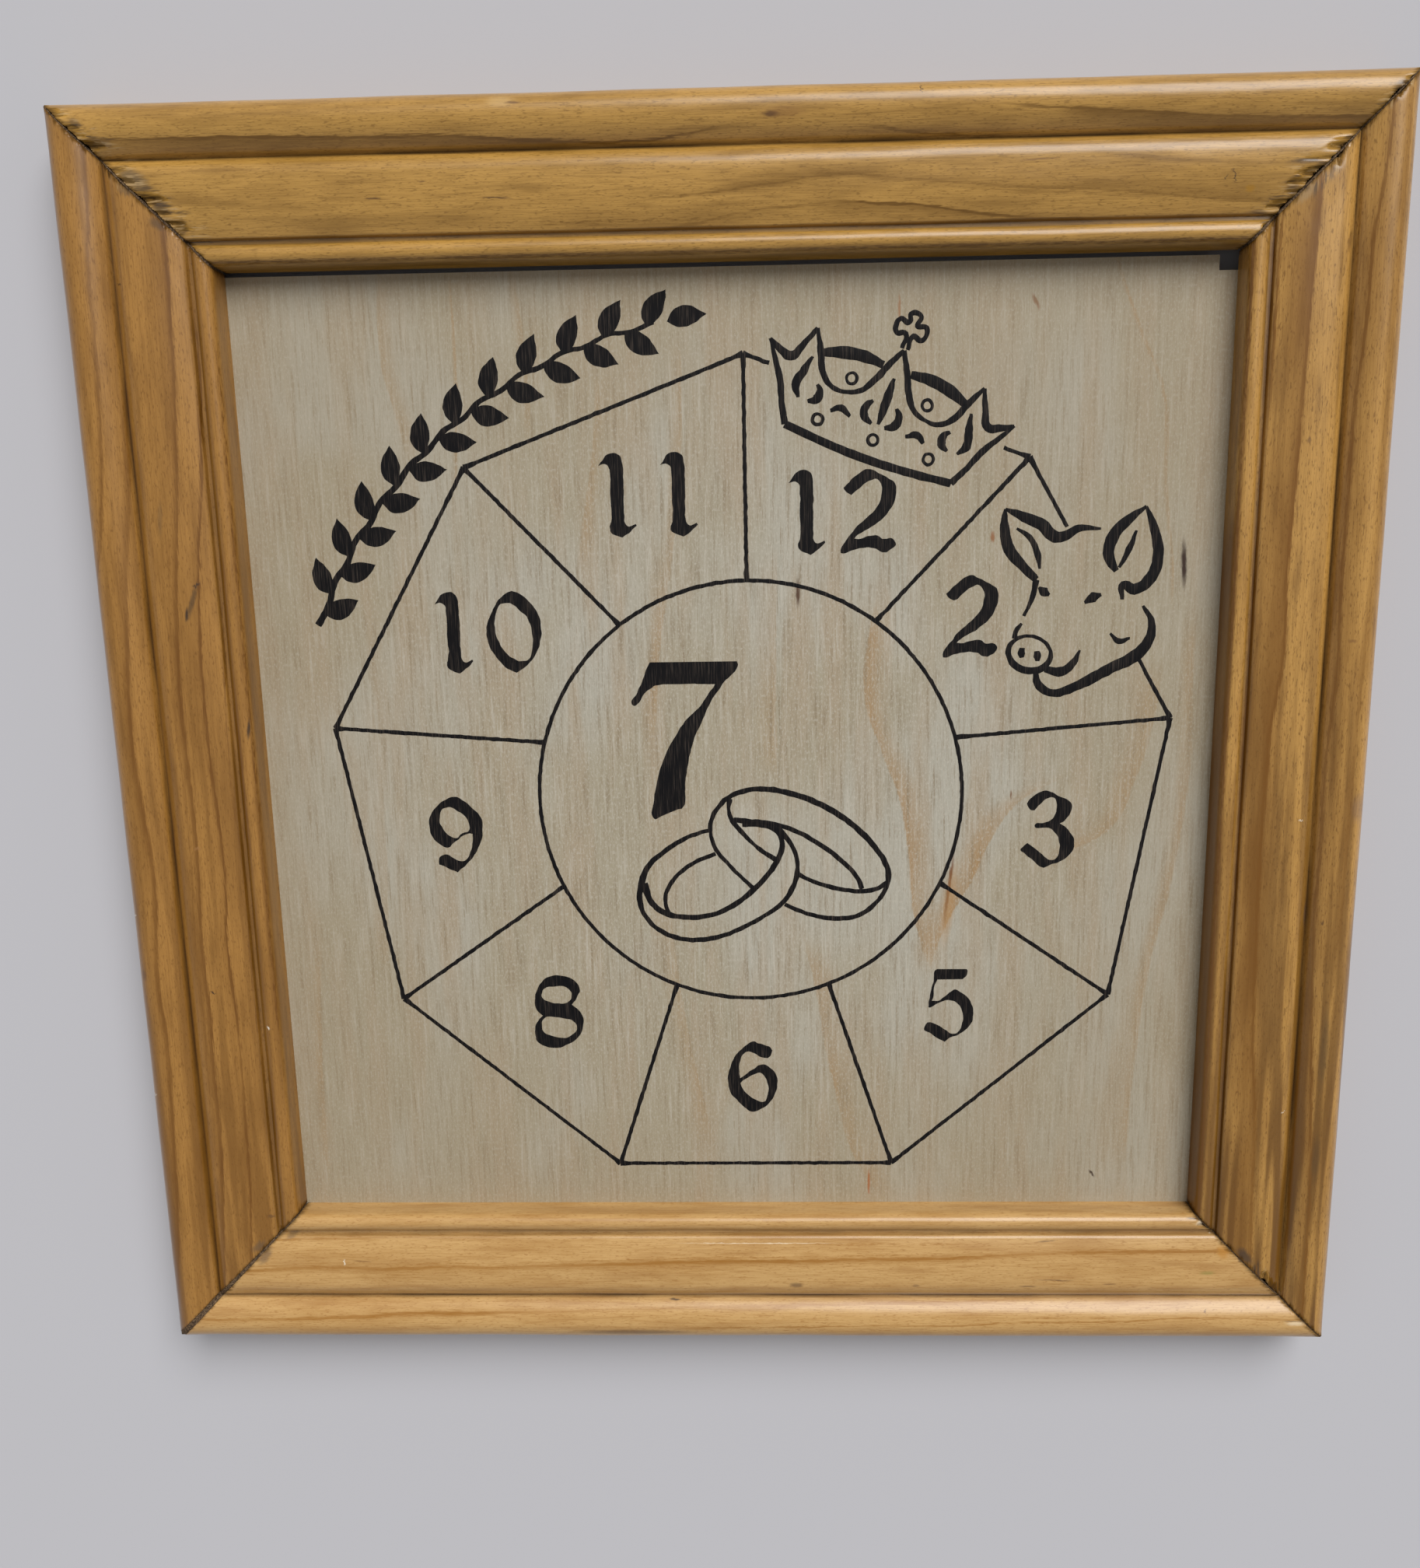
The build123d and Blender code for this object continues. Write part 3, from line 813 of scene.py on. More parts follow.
def varnishedPine(side):
    material, tree, shader = newMaterial("varnishedPine" + side.capitalize(), varnish)
    point = boardPoint(tree, railPlaces[side])
    parts = put(tree, "SeparateXYZ", {0: point}).outputs
    general = ease(tree, parts["Z"], *pineLook["generalGrain"])
    grain = useGroup(tree, pineGrain, {"Point": point, "Late Strength": general, **pineCuts[side]})
    shade = railDarkWoodAndShade[side]
    # the wood's own darker patches and specks
    colour = layered(tree, grain["Color"], point, (
        ((48, 4, 4), 3, 0.62, ((0.46, 0.72, 0.55, shade),)),
        ((1.6, 0.42, 0.42), 1, 0.5, ((0.56, 0.74, 0.6, shade),)),
    ))
    if side in shadedEnd:
        colour = shadeTowardsEnd(tree, side, point, parts["X"], colour)
    colour = drawRings(tree, side, point, parts["X"], colour)
    face = ease(tree, parts["Z"], *pineLook["face"])
    colour = flecked(tree, colour, raggedPoint(tree, point, railGrain), railMarks[side], face)
    # dirt and painted shade in the quirk and the groove, in patches
    patchy = ease(tree, cloud(tree, point, (20, 2, 2)), *pineLook["grimeAndShadePatches"])
    colour = tint(tree, times(tree, attribute(tree, "hollow"), patchy), colour, pineLook["grimeAndShade"])
    mitre = darkMitre(tree, point, parts)
    colour = tint(tree, mitre, colour, pineLook["tornWood"])
    tear = attribute(tree, "torn")
    colour = tint(tree, ease(tree, tear, *pineLook["tornDark"]), colour, pineLook["tornWood"])
    colour = tornStrands(tree, point, colour)
    tree.links.new(colour, shader.inputs["Base Color"])
    # no varnish is left in tears and in the mitre
    matt = calc(tree, "MAXIMUM", ease(tree, tear, 0.05, 0.5), mitre)
    tree.links.new(ease(tree, matt, 0, 0.6, varnish["Coat Weight"], 0), shader.inputs["Coat Weight"])
    rough = ease(tree, grain["Fibre"], *pineLook["grainRoughness"])
    rough = calc(tree, "MULTIPLY_ADD", matt, pineLook["tornRoughness"], rough)
    tree.links.new(rough, shader.inputs["Roughness"])
    height = times(tree, grain["Rings"], pineLook["ringBump"])
    height = calc(tree, "MULTIPLY_ADD", grain["Fibre"], pineLook["fibreBump"], height)
    bumped(tree, shader, height, pineLook["bump"])
    return material


for side in railPlaces:
    rail = buildRail(side)
    rail.data.materials.clear()
    rail.data.materials.append(varnishedPine(side))
    print("rail:", side, len(rail.data.polygons), "faces")


# Plywood panel: pale veneer with upright grain and its natural marks
veneer = {
    "ground": tone(161, 151, 129),
    "cool": tone(173, 169, 156),
    "rose": tone(164, 147, 123),
    "fibre": tone(128, 111, 86),
    "pale": tone(188, 181, 166),
    "flame": tone(159, 127, 87),
    "cornerTone": tone(150, 133, 104),
}
veneerFibre = ((0.34, 8, 1), 3, 0.7)
veneerGrain = (0.7, 2.2, 1)
# Marks on the panel: place, half length and half width, slant, tone, strength
panelMarks = {
    "darkFleck": ((19.8, 52), (0.9, 5.5), 0, (74, 46, 26), 0.95),
    "redStreak": ((66.2, -39), (0.8, 15), -7, (92, 42, 16), 1),
    "redGlow": ((66.4, -44), (2.6, 18), -7, (168, 128, 80), 0.55),
    "brownFleck": ((77.5, 67.2), (0.9, 2.2), 0, (138, 90, 52), 0.9),
    "smallFleck": ((84.7, -10.2), (0.4, 1.9), 0, (112, 78, 48), 0.85),
    "edgeFleck": ((133.9, 58.5), (1.2, 9), 3, (48, 28, 14), 1),
    "topMark": ((49.5, 131), (0.6, 6), 0, (146, 100, 60), 0.7),
    "topRightMark": ((88.4, 132.4), (0.8, 3.2), 28, (126, 88, 54), 0.8),
    "lowMark": ((113.8, -135), (0.6, 2), 40, (58, 42, 30), 0.95),
    "lowFibre": ((41.5, -138), (0.6, 6), 0, (156, 92, 46), 0.85),
}
# Edges of the veneer's flame figure: knots (up the panel, to the right), fade before and after, strength
flameEdges = [
    ([(-75, 60), (-60, 62), (-48.3, 66.6), (-37.3, 72.9), (-23.3, 79.1), (-13.9, 85.4), (-7.6, 94.7)],
     (9, 0.5, 0.7, -62, -9)),
    ([(-66, 61), (-48.3, 55.7), (-24.8, 53.3), (-9.2, 50.2), (3.3, 45.5), (20.5, 40), (40.8, 41.6),
      (60, 46)], (0.5, 8, 0.62, -62, 44)),
    ([(-40, 96), (-31, 100), (-27.5, 103.8), (-23.4, 111.9), (-17.1, 117.8), (-5.4, 122), (1.4, 124.4),
      (30, 129)], (9, 0.8, 0.45, -30, 26)),
    ([(-140, 124), (-90.5, 126), (-63.9, 129.1), (-40.5, 133.8), (-5, 138.2), (28, 137.8), (50, 138)],
     (5, 1.0, 0.5, -130, 40)),
    ([(40, 131), (56.5, 130.7), (81.5, 127.6), (106.5, 126), (125, 118.2), (141, 111.9)],
     (1.2, 0.6, 0.55, 50, 143)),
    ([(-20, -26), (19, -24), (34, -22.5), (56, -19), (80, -15.5), (105, -14), (125, -14)],
     (5, 0.6, 0.45, 12, 122)),
    ([(-10, 12.5), (2, 12.7), (25, 12.7), (56, 13.4)], (8, 0.4, 0.36, 0, 60)),
    ([(60, -84), (90, -81), (114, -79.6), (139, -79.6)], (0.9, 0.7, 0.55, 86, 143)),
    ([(80, -92), (97, -96), (110, -99), (117, -100.7), (139, -100.7)], (0.6, 6, 0.4, 96, 143)),
    ([(60, -62), (106, -58.5), (141, -61)], (3, 0.6, 0.35, 100, 143)),
    ([(60, -46), (69, -44.4), (97, -39.7), (120, -38)], (0.6, 5, 0.35, 62, 112)),
    ([(-137, 41.6), (-125, 35.3), (-112, 32.2), (-90.5, 27.5), (-74.8, 25.2), (-60, 22)],
     (0.6, 8, 0.55, -140, -60)),
    ([(-125, -9), (-112, -11.6), (-90, -16), (-60, -20), (-50, -21)], (7, 0.6, 0.32, -120, -46)),
    ([(-135, -137), (-100, -136.4), (-60, -134)], (3, 0.8, 0.5, -132, -60)),
    ([(-60, -112), (-20, -110), (20, -111), (60, -114)], (6, 0.5, 0.25, -60, 20)),
]


def drawFlames(tree, point, parts, shown, colour):
    # the figure runs up the panel, so the lines' along is the panel's Y
    upright = put(tree, "CombineXYZ", {"X": parts["Y"], "Y": parts["X"], "Z": parts["Z"]}).outputs[0]
    noises = fibreNoise(tree, upright)
    for knots, (before, after, strength, start, stop) in flameEdges:
        inputs = {"Before": before, "After": after, "Strength": strength, "Start": start, "Stop": stop}
        inputs["At"] = handRuled(tree, parts["Y"], knots, 200, 400)
        mask = useGroup(tree, latewood, {"Point": upright, **inputs, **noises})["Mask"]
        colour = tint(tree, times(tree, mask, shown), colour, veneer["flame"])
    return colour


def veneerMaterial():
    material, tree, shader = newMaterial("palePlywood", {"Roughness": 0.55, "Specular IOR Level": 0.35})
    point = boardPoint(tree)
    parts = put(tree, "SeparateXYZ", {0: point}).outputs
    frontSheet = ease(tree, parts["Z"], 5, 7)  # the figure and the marks don't show on the back
    colour = layered(tree, veneer["ground"], point, (
        ((46, 70, 46), 2, 0.5, ((0.42, 0.66, 0.8, veneer["cool"]),)),
        ((9, 75, 9), 3, 0.55, ((0.42, 0.7, 0.75, veneer["rose"]),)),
    ))
    colour = drawFlames(tree, point, parts, frontSheet, colour)
    colour = layered(tree, colour, point, (
        ((1.1, 24, 1), 3, 0.65, ((0.5, 0.72, 0.65, veneer["fibre"]), (0.49, 0.28, 0.6, veneer["pale"]))),
        (*veneerFibre, ((0.5, 0.74, 0.6, veneer["fibre"]),)),
        ((0.5, 1.1, 1), 2, 0.7, ((0.52, 0.3, 0.6, veneer["pale"]),)),
        ((0.3, 2.4, 1), 1, 0.5, ((0.6, 0.78, 0.4, veneer["fibre"]),)),
    ))
    # darker towards the corners: 0 in its middle, 1 near its corners
    outwards = calcVector(tree, "LENGTH", calcVector(tree, "MULTIPLY", point, (0.0058, 0.0058, 0)))
    colour = tint(tree, ease(tree, outwards, 0.3, 1, 0, 0.42), colour, veneer["cornerTone"])
    colour = flecked(tree, colour, raggedPoint(tree, point, veneerGrain), panelMarks.values(), frontSheet)
    tree.links.new(colour, shader.inputs["Base Color"])
    bumped(tree, shader, cloud(tree, point, *veneerFibre), 0.03)
    return material


def dress(node, material):
    slots = cadNodes[node].data.materials
    if not slots:
        slots.append(material)
    for index in range(len(slots)):
        slots[index] = material


dress("game_panel", veneerMaterial())
print("panel dressed")


# Mitre filler and steel
def fillerMaterial():
    material, tree, shader = newMaterial("mitreFiller", {"Roughness": 0.8, "Specular IOR Level": 0.2})
    point = boardPoint(tree)
    crumbs = cloud(tree, point, (0.5, 0.5, 0.5), 3, 0.7)
    colour = tint(tree, ease(tree, crumbs, 0.35, 0.7), tone(44, 33, 24), tone(122, 98, 72))
    tree.links.new(colour, shader.inputs["Base Color"])
    bumped(tree, shader, crumbs, 0.12)
    return material


def steelMaterial():
    material, tree, shader = newMaterial("zincedSteel", {"Metallic": 1, "Roughness": 0.35})
    point = boardPoint(tree)
    scuff = cloud(tree, point, (0.4, 2.5, 1), 3, 0.6)
    colour = tint(tree, ease(tree, scuff, 0.3, 0.75), tone(168, 170, 172), tone(120, 121, 122))
    tree.links.new(colour, shader.inputs["Base Color"])
    tree.links.new(ease(tree, scuff, 0.2, 0.8, 0.28, 0.5), shader.inputs["Roughness"])
    return material


filler, steel = fillerMaterial(), steelMaterial()
for node in cadNodes:
    if node.startswith("mitre_filler"):
        dress(node, filler)
    if node.startswith(("v_nail", "holding_point")):
        dress(node, steel)
print("fillers, nails and points dressed")


# Burnt lines and figures
def inkMaterial():
    material, tree, shader = newMaterial("burntInk", {"Roughness": 0.6, "Specular IOR Level": 0.12})
    point = boardPoint(tree)
    fibre = cloud(tree, point, (0.4, 9, 1), 3, 0.6)
    colour = tint(tree, ease(tree, fibre, 0.45, 0.85, 0, 0.7), tone(9, 8, 10), tone(82, 72, 64))
    tree.links.new(colour, shader.inputs["Base Color"])
    bumped(tree, shader, fibre, 0.03)
    return material


ink = inkMaterial()
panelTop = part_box("game_panel")[1].z / mm
inkStyle = {
    "rise": 0.05,
    "sink": 0.06,
    "grooveSink": 0.19,
    "wobble": 0.24,
    "wobbleLength": 1.9,
    "sharp": 40,
}


def finishInk(name, source, sinkDepth):
    scene.collection.objects.link(source)
    mesh = evaluatedMesh(source)
    bpy.data.objects.remove(source)
    # burnt by hand: the edges wander a little
    wobble, reach = inkStyle["wobble"] * mm, inkStyle["wobbleLength"] * mm
    elsewhere = Vector((31, 7, 0))  # so that a point's two moves differ
    for vert in mesh.vertices:
        spot = vert.co / reach
        spot.z = 0
        vert.co.x += noise.noise(spot) * wobble
        vert.co.y += noise.noise(spot + elsewhere) * wobble
        lift = inkStyle["rise"] if vert.co.z > 0 else -sinkDepth
        vert.co.z = (panelTop + lift * abs(vert.co.z) / mm) * mm
    mesh.materials.clear()
    mesh.materials.append(ink)
    piece = linkMesh(name, mesh)
    shadeRounded(mesh, inkStyle["sharp"])
    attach(piece, "root")


def newCurve(name, dimensions):
    curve = bpy.data.curves.new(name + "Line", "CURVE")
    curve.dimensions = dimensions
    return bpy.data.objects.new(name + "Line", curve), curve


def addSpline(curve, points, closed, corners=()):
    spline = curve.splines.new("BEZIER")
    spline.bezier_points.add(len(points) - 1)
    for number, (knot, place) in enumerate(zip(spline.bezier_points, points)):
        knot.co = (place[0] * mm, place[1] * mm, 0)
        knot.radius = place[2] if len(place) > 2 else 1
        kind = "VECTOR" if number in corners else "AUTO"
        knot.handle_left_type = kind
        knot.handle_right_type = kind
    spline.use_cyclic_u = closed


def inkFigure(name, loops):
    # filled outlines; a loop is (points, corner numbers)
    source, curve = newCurve(name, "2D")
    curve.fill_mode = "BOTH"
    curve.extrude = 1 * mm
    curve.resolution_u = 7
    for points, corners in loops:
        addSpline(curve, points, True, corners)
    finishInk(name, source, inkStyle["sink"])


def inkStrokes(name, strokes, closed=False, sinkDepth=inkStyle["sink"], resolution=6):
    # strokes of a pen; each point is x, y and the line's width there
    source, curve = newCurve(name, "3D")
    curve.bevel_depth = 0.5 * mm
    curve.bevel_resolution = 2
    curve.use_fill_caps = True
    curve.resolution_u = resolution
    for points in strokes:
        addSpline(curve, points, closed)
    finishInk(name, source, sinkDepth)


# Playing field: nine-sided outline, ring and spokes that run from a point above the centre
field = {
    "centre": Vector((4.5, -9.5)),
    "radius": 129.5,
    "sides": 9,
    "ring": 65.2,
    "aim": Vector((0, 12.3)),
    "line": 1.2,
    "blob": 1.8,
    "breaks": {0: (8.0, 80.5), 1: (23.0, 68.0)},
}


def fieldCorner(number):
    angle = radians(90 - number * 360 / field["sides"])
    return Vector((cos(angle), sin(angle))) * field["radius"]


def ruled(start, end, blobs=(True, True)):
    # a line drawn in short steps, with a small blob at a marked end
    count = max(3, int((end - start).length / 4))
    places = [start.lerp(end, step / count) for step in range(count + 1)]
    widths = [field["line"]] * (count + 1)
    widths[0] = field["blob"] if blobs[0] else widths[0]
    widths[-1] = field["blob"] if blobs[1] else widths[-1]
    middle = field["centre"]
    return [(p.x + middle.x, p.y + middle.y, width) for p, width in zip(places, widths)]


def ringEntry(corner):
    # where the line from the aim to a corner leaves the ring
    aim = field["aim"]
    along = (corner - aim).normalized()
    side = aim.dot(along)
    return aim + along * (-side + sqrt(side ** 2 - aim.length_squared + field["ring"] ** 2))


def fieldStrokes():
    strokes = []
    for number in range(field["sides"]):
        first, last = fieldCorner(number), fieldCorner(number + 1)
        along = (last - first).normalized()
        if number in field["breaks"]:
            stop, start = field["breaks"][number]
            strokes.append(ruled(first, first + along * stop, (True, False)))
            strokes.append(ruled(first + along * start, last, (False, True)))
        else:
            strokes.append(ruled(first, last))
        strokes.append(ruled(ringEntry(first), first))
    return strokes


def ringStroke():
    count = 36
    stroke = []
    for step in range(count):
        angle = 2 * pi * step / count
        x = field["centre"].x + field["ring"] * cos(angle)
        y = field["centre"].y + field["ring"] * sin(angle)
        stroke.append((x, y, field["line"]))
    return stroke


inkStrokes("fieldLines", fieldStrokes(), sinkDepth=inkStyle["grooveSink"], resolution=8)
inkStrokes("fieldRing", [ringStroke()], closed=True, sinkDepth=inkStyle["grooveSink"], resolution=16)
print("field drawn")


# Numerals, each outline counted from its own lower left; corner points by number
numeralShapes = {
    "1": [
        ([(-5.2, 20.5), (-4.0, 22.0), (-2.6, 23.6), (-0.9, 24.1), (0.9, 23.5), (1.8, 22.0), (2.05, 19.5),
          (2.05, 12), (2.0, 6.0), (2.3, 3.7), (3.1, 3.0), (4.3, 3.3), (5.3, 3.8), (5.6, 3.2), (4.0, 1.7),
          (2.4, 0.5), (1.25, -0.2), (-0.7, 0.5), (-2.2, 1.5), (-2.5, 3.0), (-2.0, 4.3), (-1.9, 11.5),
          (-1.9, 18.5), (-2.2, 20.2), (-3.2, 20.9), (-4.4, 20.8)], (0, 12, 13, 16, 19)),
    ],
    "0": [
        ([(0, 24.5), (2.5, 23.5), (5.4, 20.9), (7.5, 17.7), (8.3, 14.4), (8.1, 10.2), (6.6, 6.0),
          (3.7, 2.3), (0.2, 0), (-2.1, 1.0), (-5.05, 3.95), (-7.3, 7.3), (-8.3, 11.45), (-8.0, 14.8),
          (-6.3, 18.5), (-3.4, 22.7)], (0, 8)),
        ([(-2.3, 20.95), (0, 20.4), (2.45, 18.5), (4.5, 15.9), (5.45, 12.3), (5.45, 7.7), (4.1, 3.95),
          (2.0, 3.4), (-0.9, 4.4), (-3.8, 7.5), (-5.3, 11.0), (-5.8, 14.4), (-5.05, 17.7), (-4.05, 20.2)],
         ()),
    ],
    "2": [
        ([(0.5, 18.8), (1.7, 20.05), (4.0, 22.1), (6.1, 23.6), (7.75, 24.1), (9.4, 23.6), (11.5, 22.5),
          (14, 21.1), (15.4, 20.0), (15.9, 18.0), (15.5, 15.0), (14, 12.1), (10.7, 8.8), (7.3, 6.7),
          (4.4, 5.0), (3.75, 4.2), (5.25, 4.2), (8.2, 4.9), (11.1, 4.8), (12.3, 4.0), (14.8, 4.0),
          (15.75, 3.1), (15.7, 2.1), (13.2, 0), (11.5, 0.3), (9.4, 1.3), (6.5, 1.5), (3.2, 0.9),
          (1.1, 0.05), (-0.2, 0.05), (-0.3, 1.3), (0.7, 3.0), (2.3, 5.05), (4.8, 8.0), (8.2, 10.9),
          (10.7, 13.8), (11.7, 16.7), (11.5, 19.6), (10.25, 21.1), (8.6, 20.9), (6.5, 19.8), (4.0, 17.55),
          (2.75, 16.7), (1.5, 17.4)], (0, 15, 23, 29, 42)),
    ],
    "3": [
        ([(1.6, 20.6), (2.8, 22.05), (4.9, 23.7), (7.0, 24.5), (9.1, 24.0), (11.6, 22.6), (14.5, 21.2),
          (15.5, 20.1), (15.2, 17.9), (13.7, 15.4), (12.0, 14.1), (13.7, 12.9), (15.3, 11.2), (16.5, 8.3),
          (16.2, 5.8), (14.5, 3.7), (12.0, 2.05), (9.5, 1.2), (7.4, 0.05), (6.2, 0.6), (3.7, 2.9),
          (1.2, 5.0), (0.1, 6.0), (0.75, 6.8), (2.2, 8.05), (3.7, 7.05), (6.2, 5.0), (7.8, 3.5), (9.5, 2.6),
          (11.2, 3.3), (12.0, 5.8), (11.75, 9.1), (10.3, 11.6), (8.25, 12.9), (5.3, 12.8), (4.25, 13.3),
          (4.5, 14.1), (7.0, 14.4), (8.7, 15.0), (10.2, 16.6), (10.8, 19.1), (10.5, 21.5), (9.5, 22.3),
          (7.8, 22.05), (6.2, 20.8), (4.1, 18.5), (2.8, 18.5), (2.0, 19.55)], (0, 10, 18, 24, 45)),
    ],
    "5": [
        ([(3.1, 23.7), (3.9, 24.2), (13.1, 24.2), (13.4, 23.5), (13.1, 22.1), (12.0, 20.9), (3.9, 20.8),
          (3.3, 19.4), (2.7, 15.6), (2.3, 13.8), (4.3, 13.8), (6.4, 15.2), (8.1, 16.6), (9.5, 17.5),
          (11.4, 16.5), (13.9, 14.4), (15.2, 11.9), (15.5, 9.4), (14.75, 6.05), (13.1, 4.0), (11.0, 2.5),
          (8.5, 1.5), (6.6, 0.05), (4.75, 1.05), (2.25, 2.7), (0, 4.0), (-0.1, 5.0), (1.0, 6.5),
          (2.25, 6.6), (3.9, 5.8), (6.8, 4.0), (8.9, 2.8), (10.6, 3.1), (11.8, 5.2), (12.25, 8.1),
          (11.7, 11.05), (10.2, 13.1), (8.1, 14.0), (5.6, 13.55), (3.5, 12.6), (1.8, 11.5), (1.2, 11.6),
          (1.4, 14.0), (2.25, 18.1), (2.8, 21.5)], (1, 2, 5, 6, 9, 22, 25, 27, 40, 41)),
    ],
    "6": [
        ([(6.5, 20.8), (6.0, 21.8), (4.5, 22.6), (2.0, 23.3), (0.5, 24.0), (-2, 22.6), (-5, 19.8),
          (-7, 15.8), (-8, 10.8), (-7.2, 6.8), (-5, 3.8), (-2.5, 1.3), (0, 0), (2.5, 0.8), (5, 2.8),
          (7, 5.8), (8, 9.8), (7.5, 12.8), (6, 14.8), (4, 16.0), (2.5, 16.1), (0.5, 14.8), (-2.5, 12.6),
          (-4, 11.5), (-4.3, 13.3), (-4.0, 17.3), (-2.8, 19.8), (-1.5, 20.5), (1.0, 19.8), (3.5, 18.5),
          (5.0, 18.3), (6.0, 19.6)], (0, 23, 30)),
        ([(-4, 9.8), (-2, 11.5), (0.5, 12.8), (2.5, 13.3), (4.0, 11.8), (4.8, 9.8), (5.0, 7.3), (4.5, 4.8),
          (3.5, 3.5), (1.5, 3.8), (-1, 5.3), (-3, 7.5)], (0,)),
    ],
    "7": [
        ([(-25.2, 31.8), (1.25, 31.8), (1.4, 30.4), (-2.9, 25.4), (-6.7, 20), (-10, 13.3), (-12.5, 7.9),
          (-13.75, 3.3), (-14.6, -0.8), (-15.4, -5), (-15.7, -11.7), (-16.5, -13.2), (-20, -14.3),
          (-25, -16.5), (-25.9, -15.8), (-25.6, -12.5), (-24.3, -5.8), (-22.1, 1.7), (-19.2, 7.5),
          (-15, 13.75), (-10, 18.75), (-7.1, 22.9), (-5.5, 25), (-18.3, 25.25), (-22.5, 25), (-25, 24.2),
          (-27.1, 22.5), (-29.3, 19.3), (-30.4, 18.7), (-31.2, 19.6), (-29.8, 22.1), (-27.9, 25.8),
          (-26.25, 30)], (0, 1, 11, 13, 22)),
    ],
    "8": [
        ([(-1.5, 24.2), (1.0, 24.4), (3.5, 24.0), (6.5, 22.2), (7.7, 19.7), (7.0, 17.7), (5.0, 14.7),
          (7.0, 12.7), (8.2, 10.7), (8.3, 7.7), (6.5, 3.7), (3.5, 1.4), (0, 0.1), (-3.5, 0.4), (-6.5, 2.0),
          (-7.4, 4.7), (-6.8, 8.2), (-4.7, 11.0), (-6.5, 13.2), (-7.0, 16.2), (-6.0, 19.7), (-4.0, 22.7)],
         (6, 17)),
        ([(-3, 20.4), (-0.5, 20.7), (2.5, 20.7), (4.5, 19.4), (5.0, 17.7), (4.0, 15.7), (1.5, 14.9),
          (-1.5, 15.4), (-4.3, 16.7), (-4.5, 18.7)], ()),
        ([(-3, 10.6), (-0.5, 10.5), (2.5, 10.0), (5.5, 8.7), (6.3, 6.7), (5.0, 4.7), (2.0, 3.4),
          (-1.5, 4.0), (-4.5, 5.4), (-5.0, 7.7), (-4.5, 9.7)], ()),
    ],
    "9": [
        ([(0.3, 24.0), (2.8, 23.0), (5.8, 20.3), (8.3, 17.3), (8.6, 12.8), (6.8, 7.3), (3.8, 3.3), (0, 0),
          (-2.2, 1.0), (-5.7, 2.6), (-5.8, 3.8), (-4.7, 5.3), (-3.2, 5.6), (-1.2, 4.6), (1.3, 3.5),
          (2.8, 3.8), (4.3, 6.3), (5.3, 9.8), (5.5, 12.3), (3.8, 12.3), (1.8, 11.3), (-0.2, 9.8),
          (-2.7, 7.9), (-4.7, 8.8), (-7.2, 11.3), (-8.1, 14.8), (-7.4, 18.3), (-4.7, 21.6), (-2.2, 23.3)],
         (7, 9, 18)),
        ([(-1.7, 20.8), (0.8, 19.8), (3.3, 17.8), (4.5, 15.3), (4.3, 13.3), (2.3, 12.6), (0.3, 11.1),
          (-1.7, 11.6), (-3.7, 13.8), (-4.7, 16.8), (-3.7, 20.0)], ()),
    ],
}

# Where each numeral stands: shape, right, up
numerals = {
    "numeralSeven": [("7", 0, 0)],
    "numeralTen": [("1", -84.7, 29.6), ("0", -66.2, 29.3)],
    "numeralEleven": [("1", -33.5, 69), ("1", -15.3, 69)],
    "numeralTwelve": [("1", 22.5, 63.2), ("2", 33, 63.2)],
    "numeralTwo": [("2", 63.6, 32.1)],
    "numeralThree": [("3", 88, -33.3)],
    "numeralFive": [("5", 59, -89.8)],
    "numeralSix": [("6", 4, -113.3)],
    "numeralEight": [("8", -58.5, -91.2)],
    "numeralNine": [("9", -87.8, -32.8)],
}
for name, digits in numerals.items():
    loops = []
    for shape, right, up in digits:
        for points, corners in numeralShapes[shape]:
            loops.append(([(x + right, y + up) for x, y in points], corners))
    inkFigure(name, loops)
print("numerals drawn")


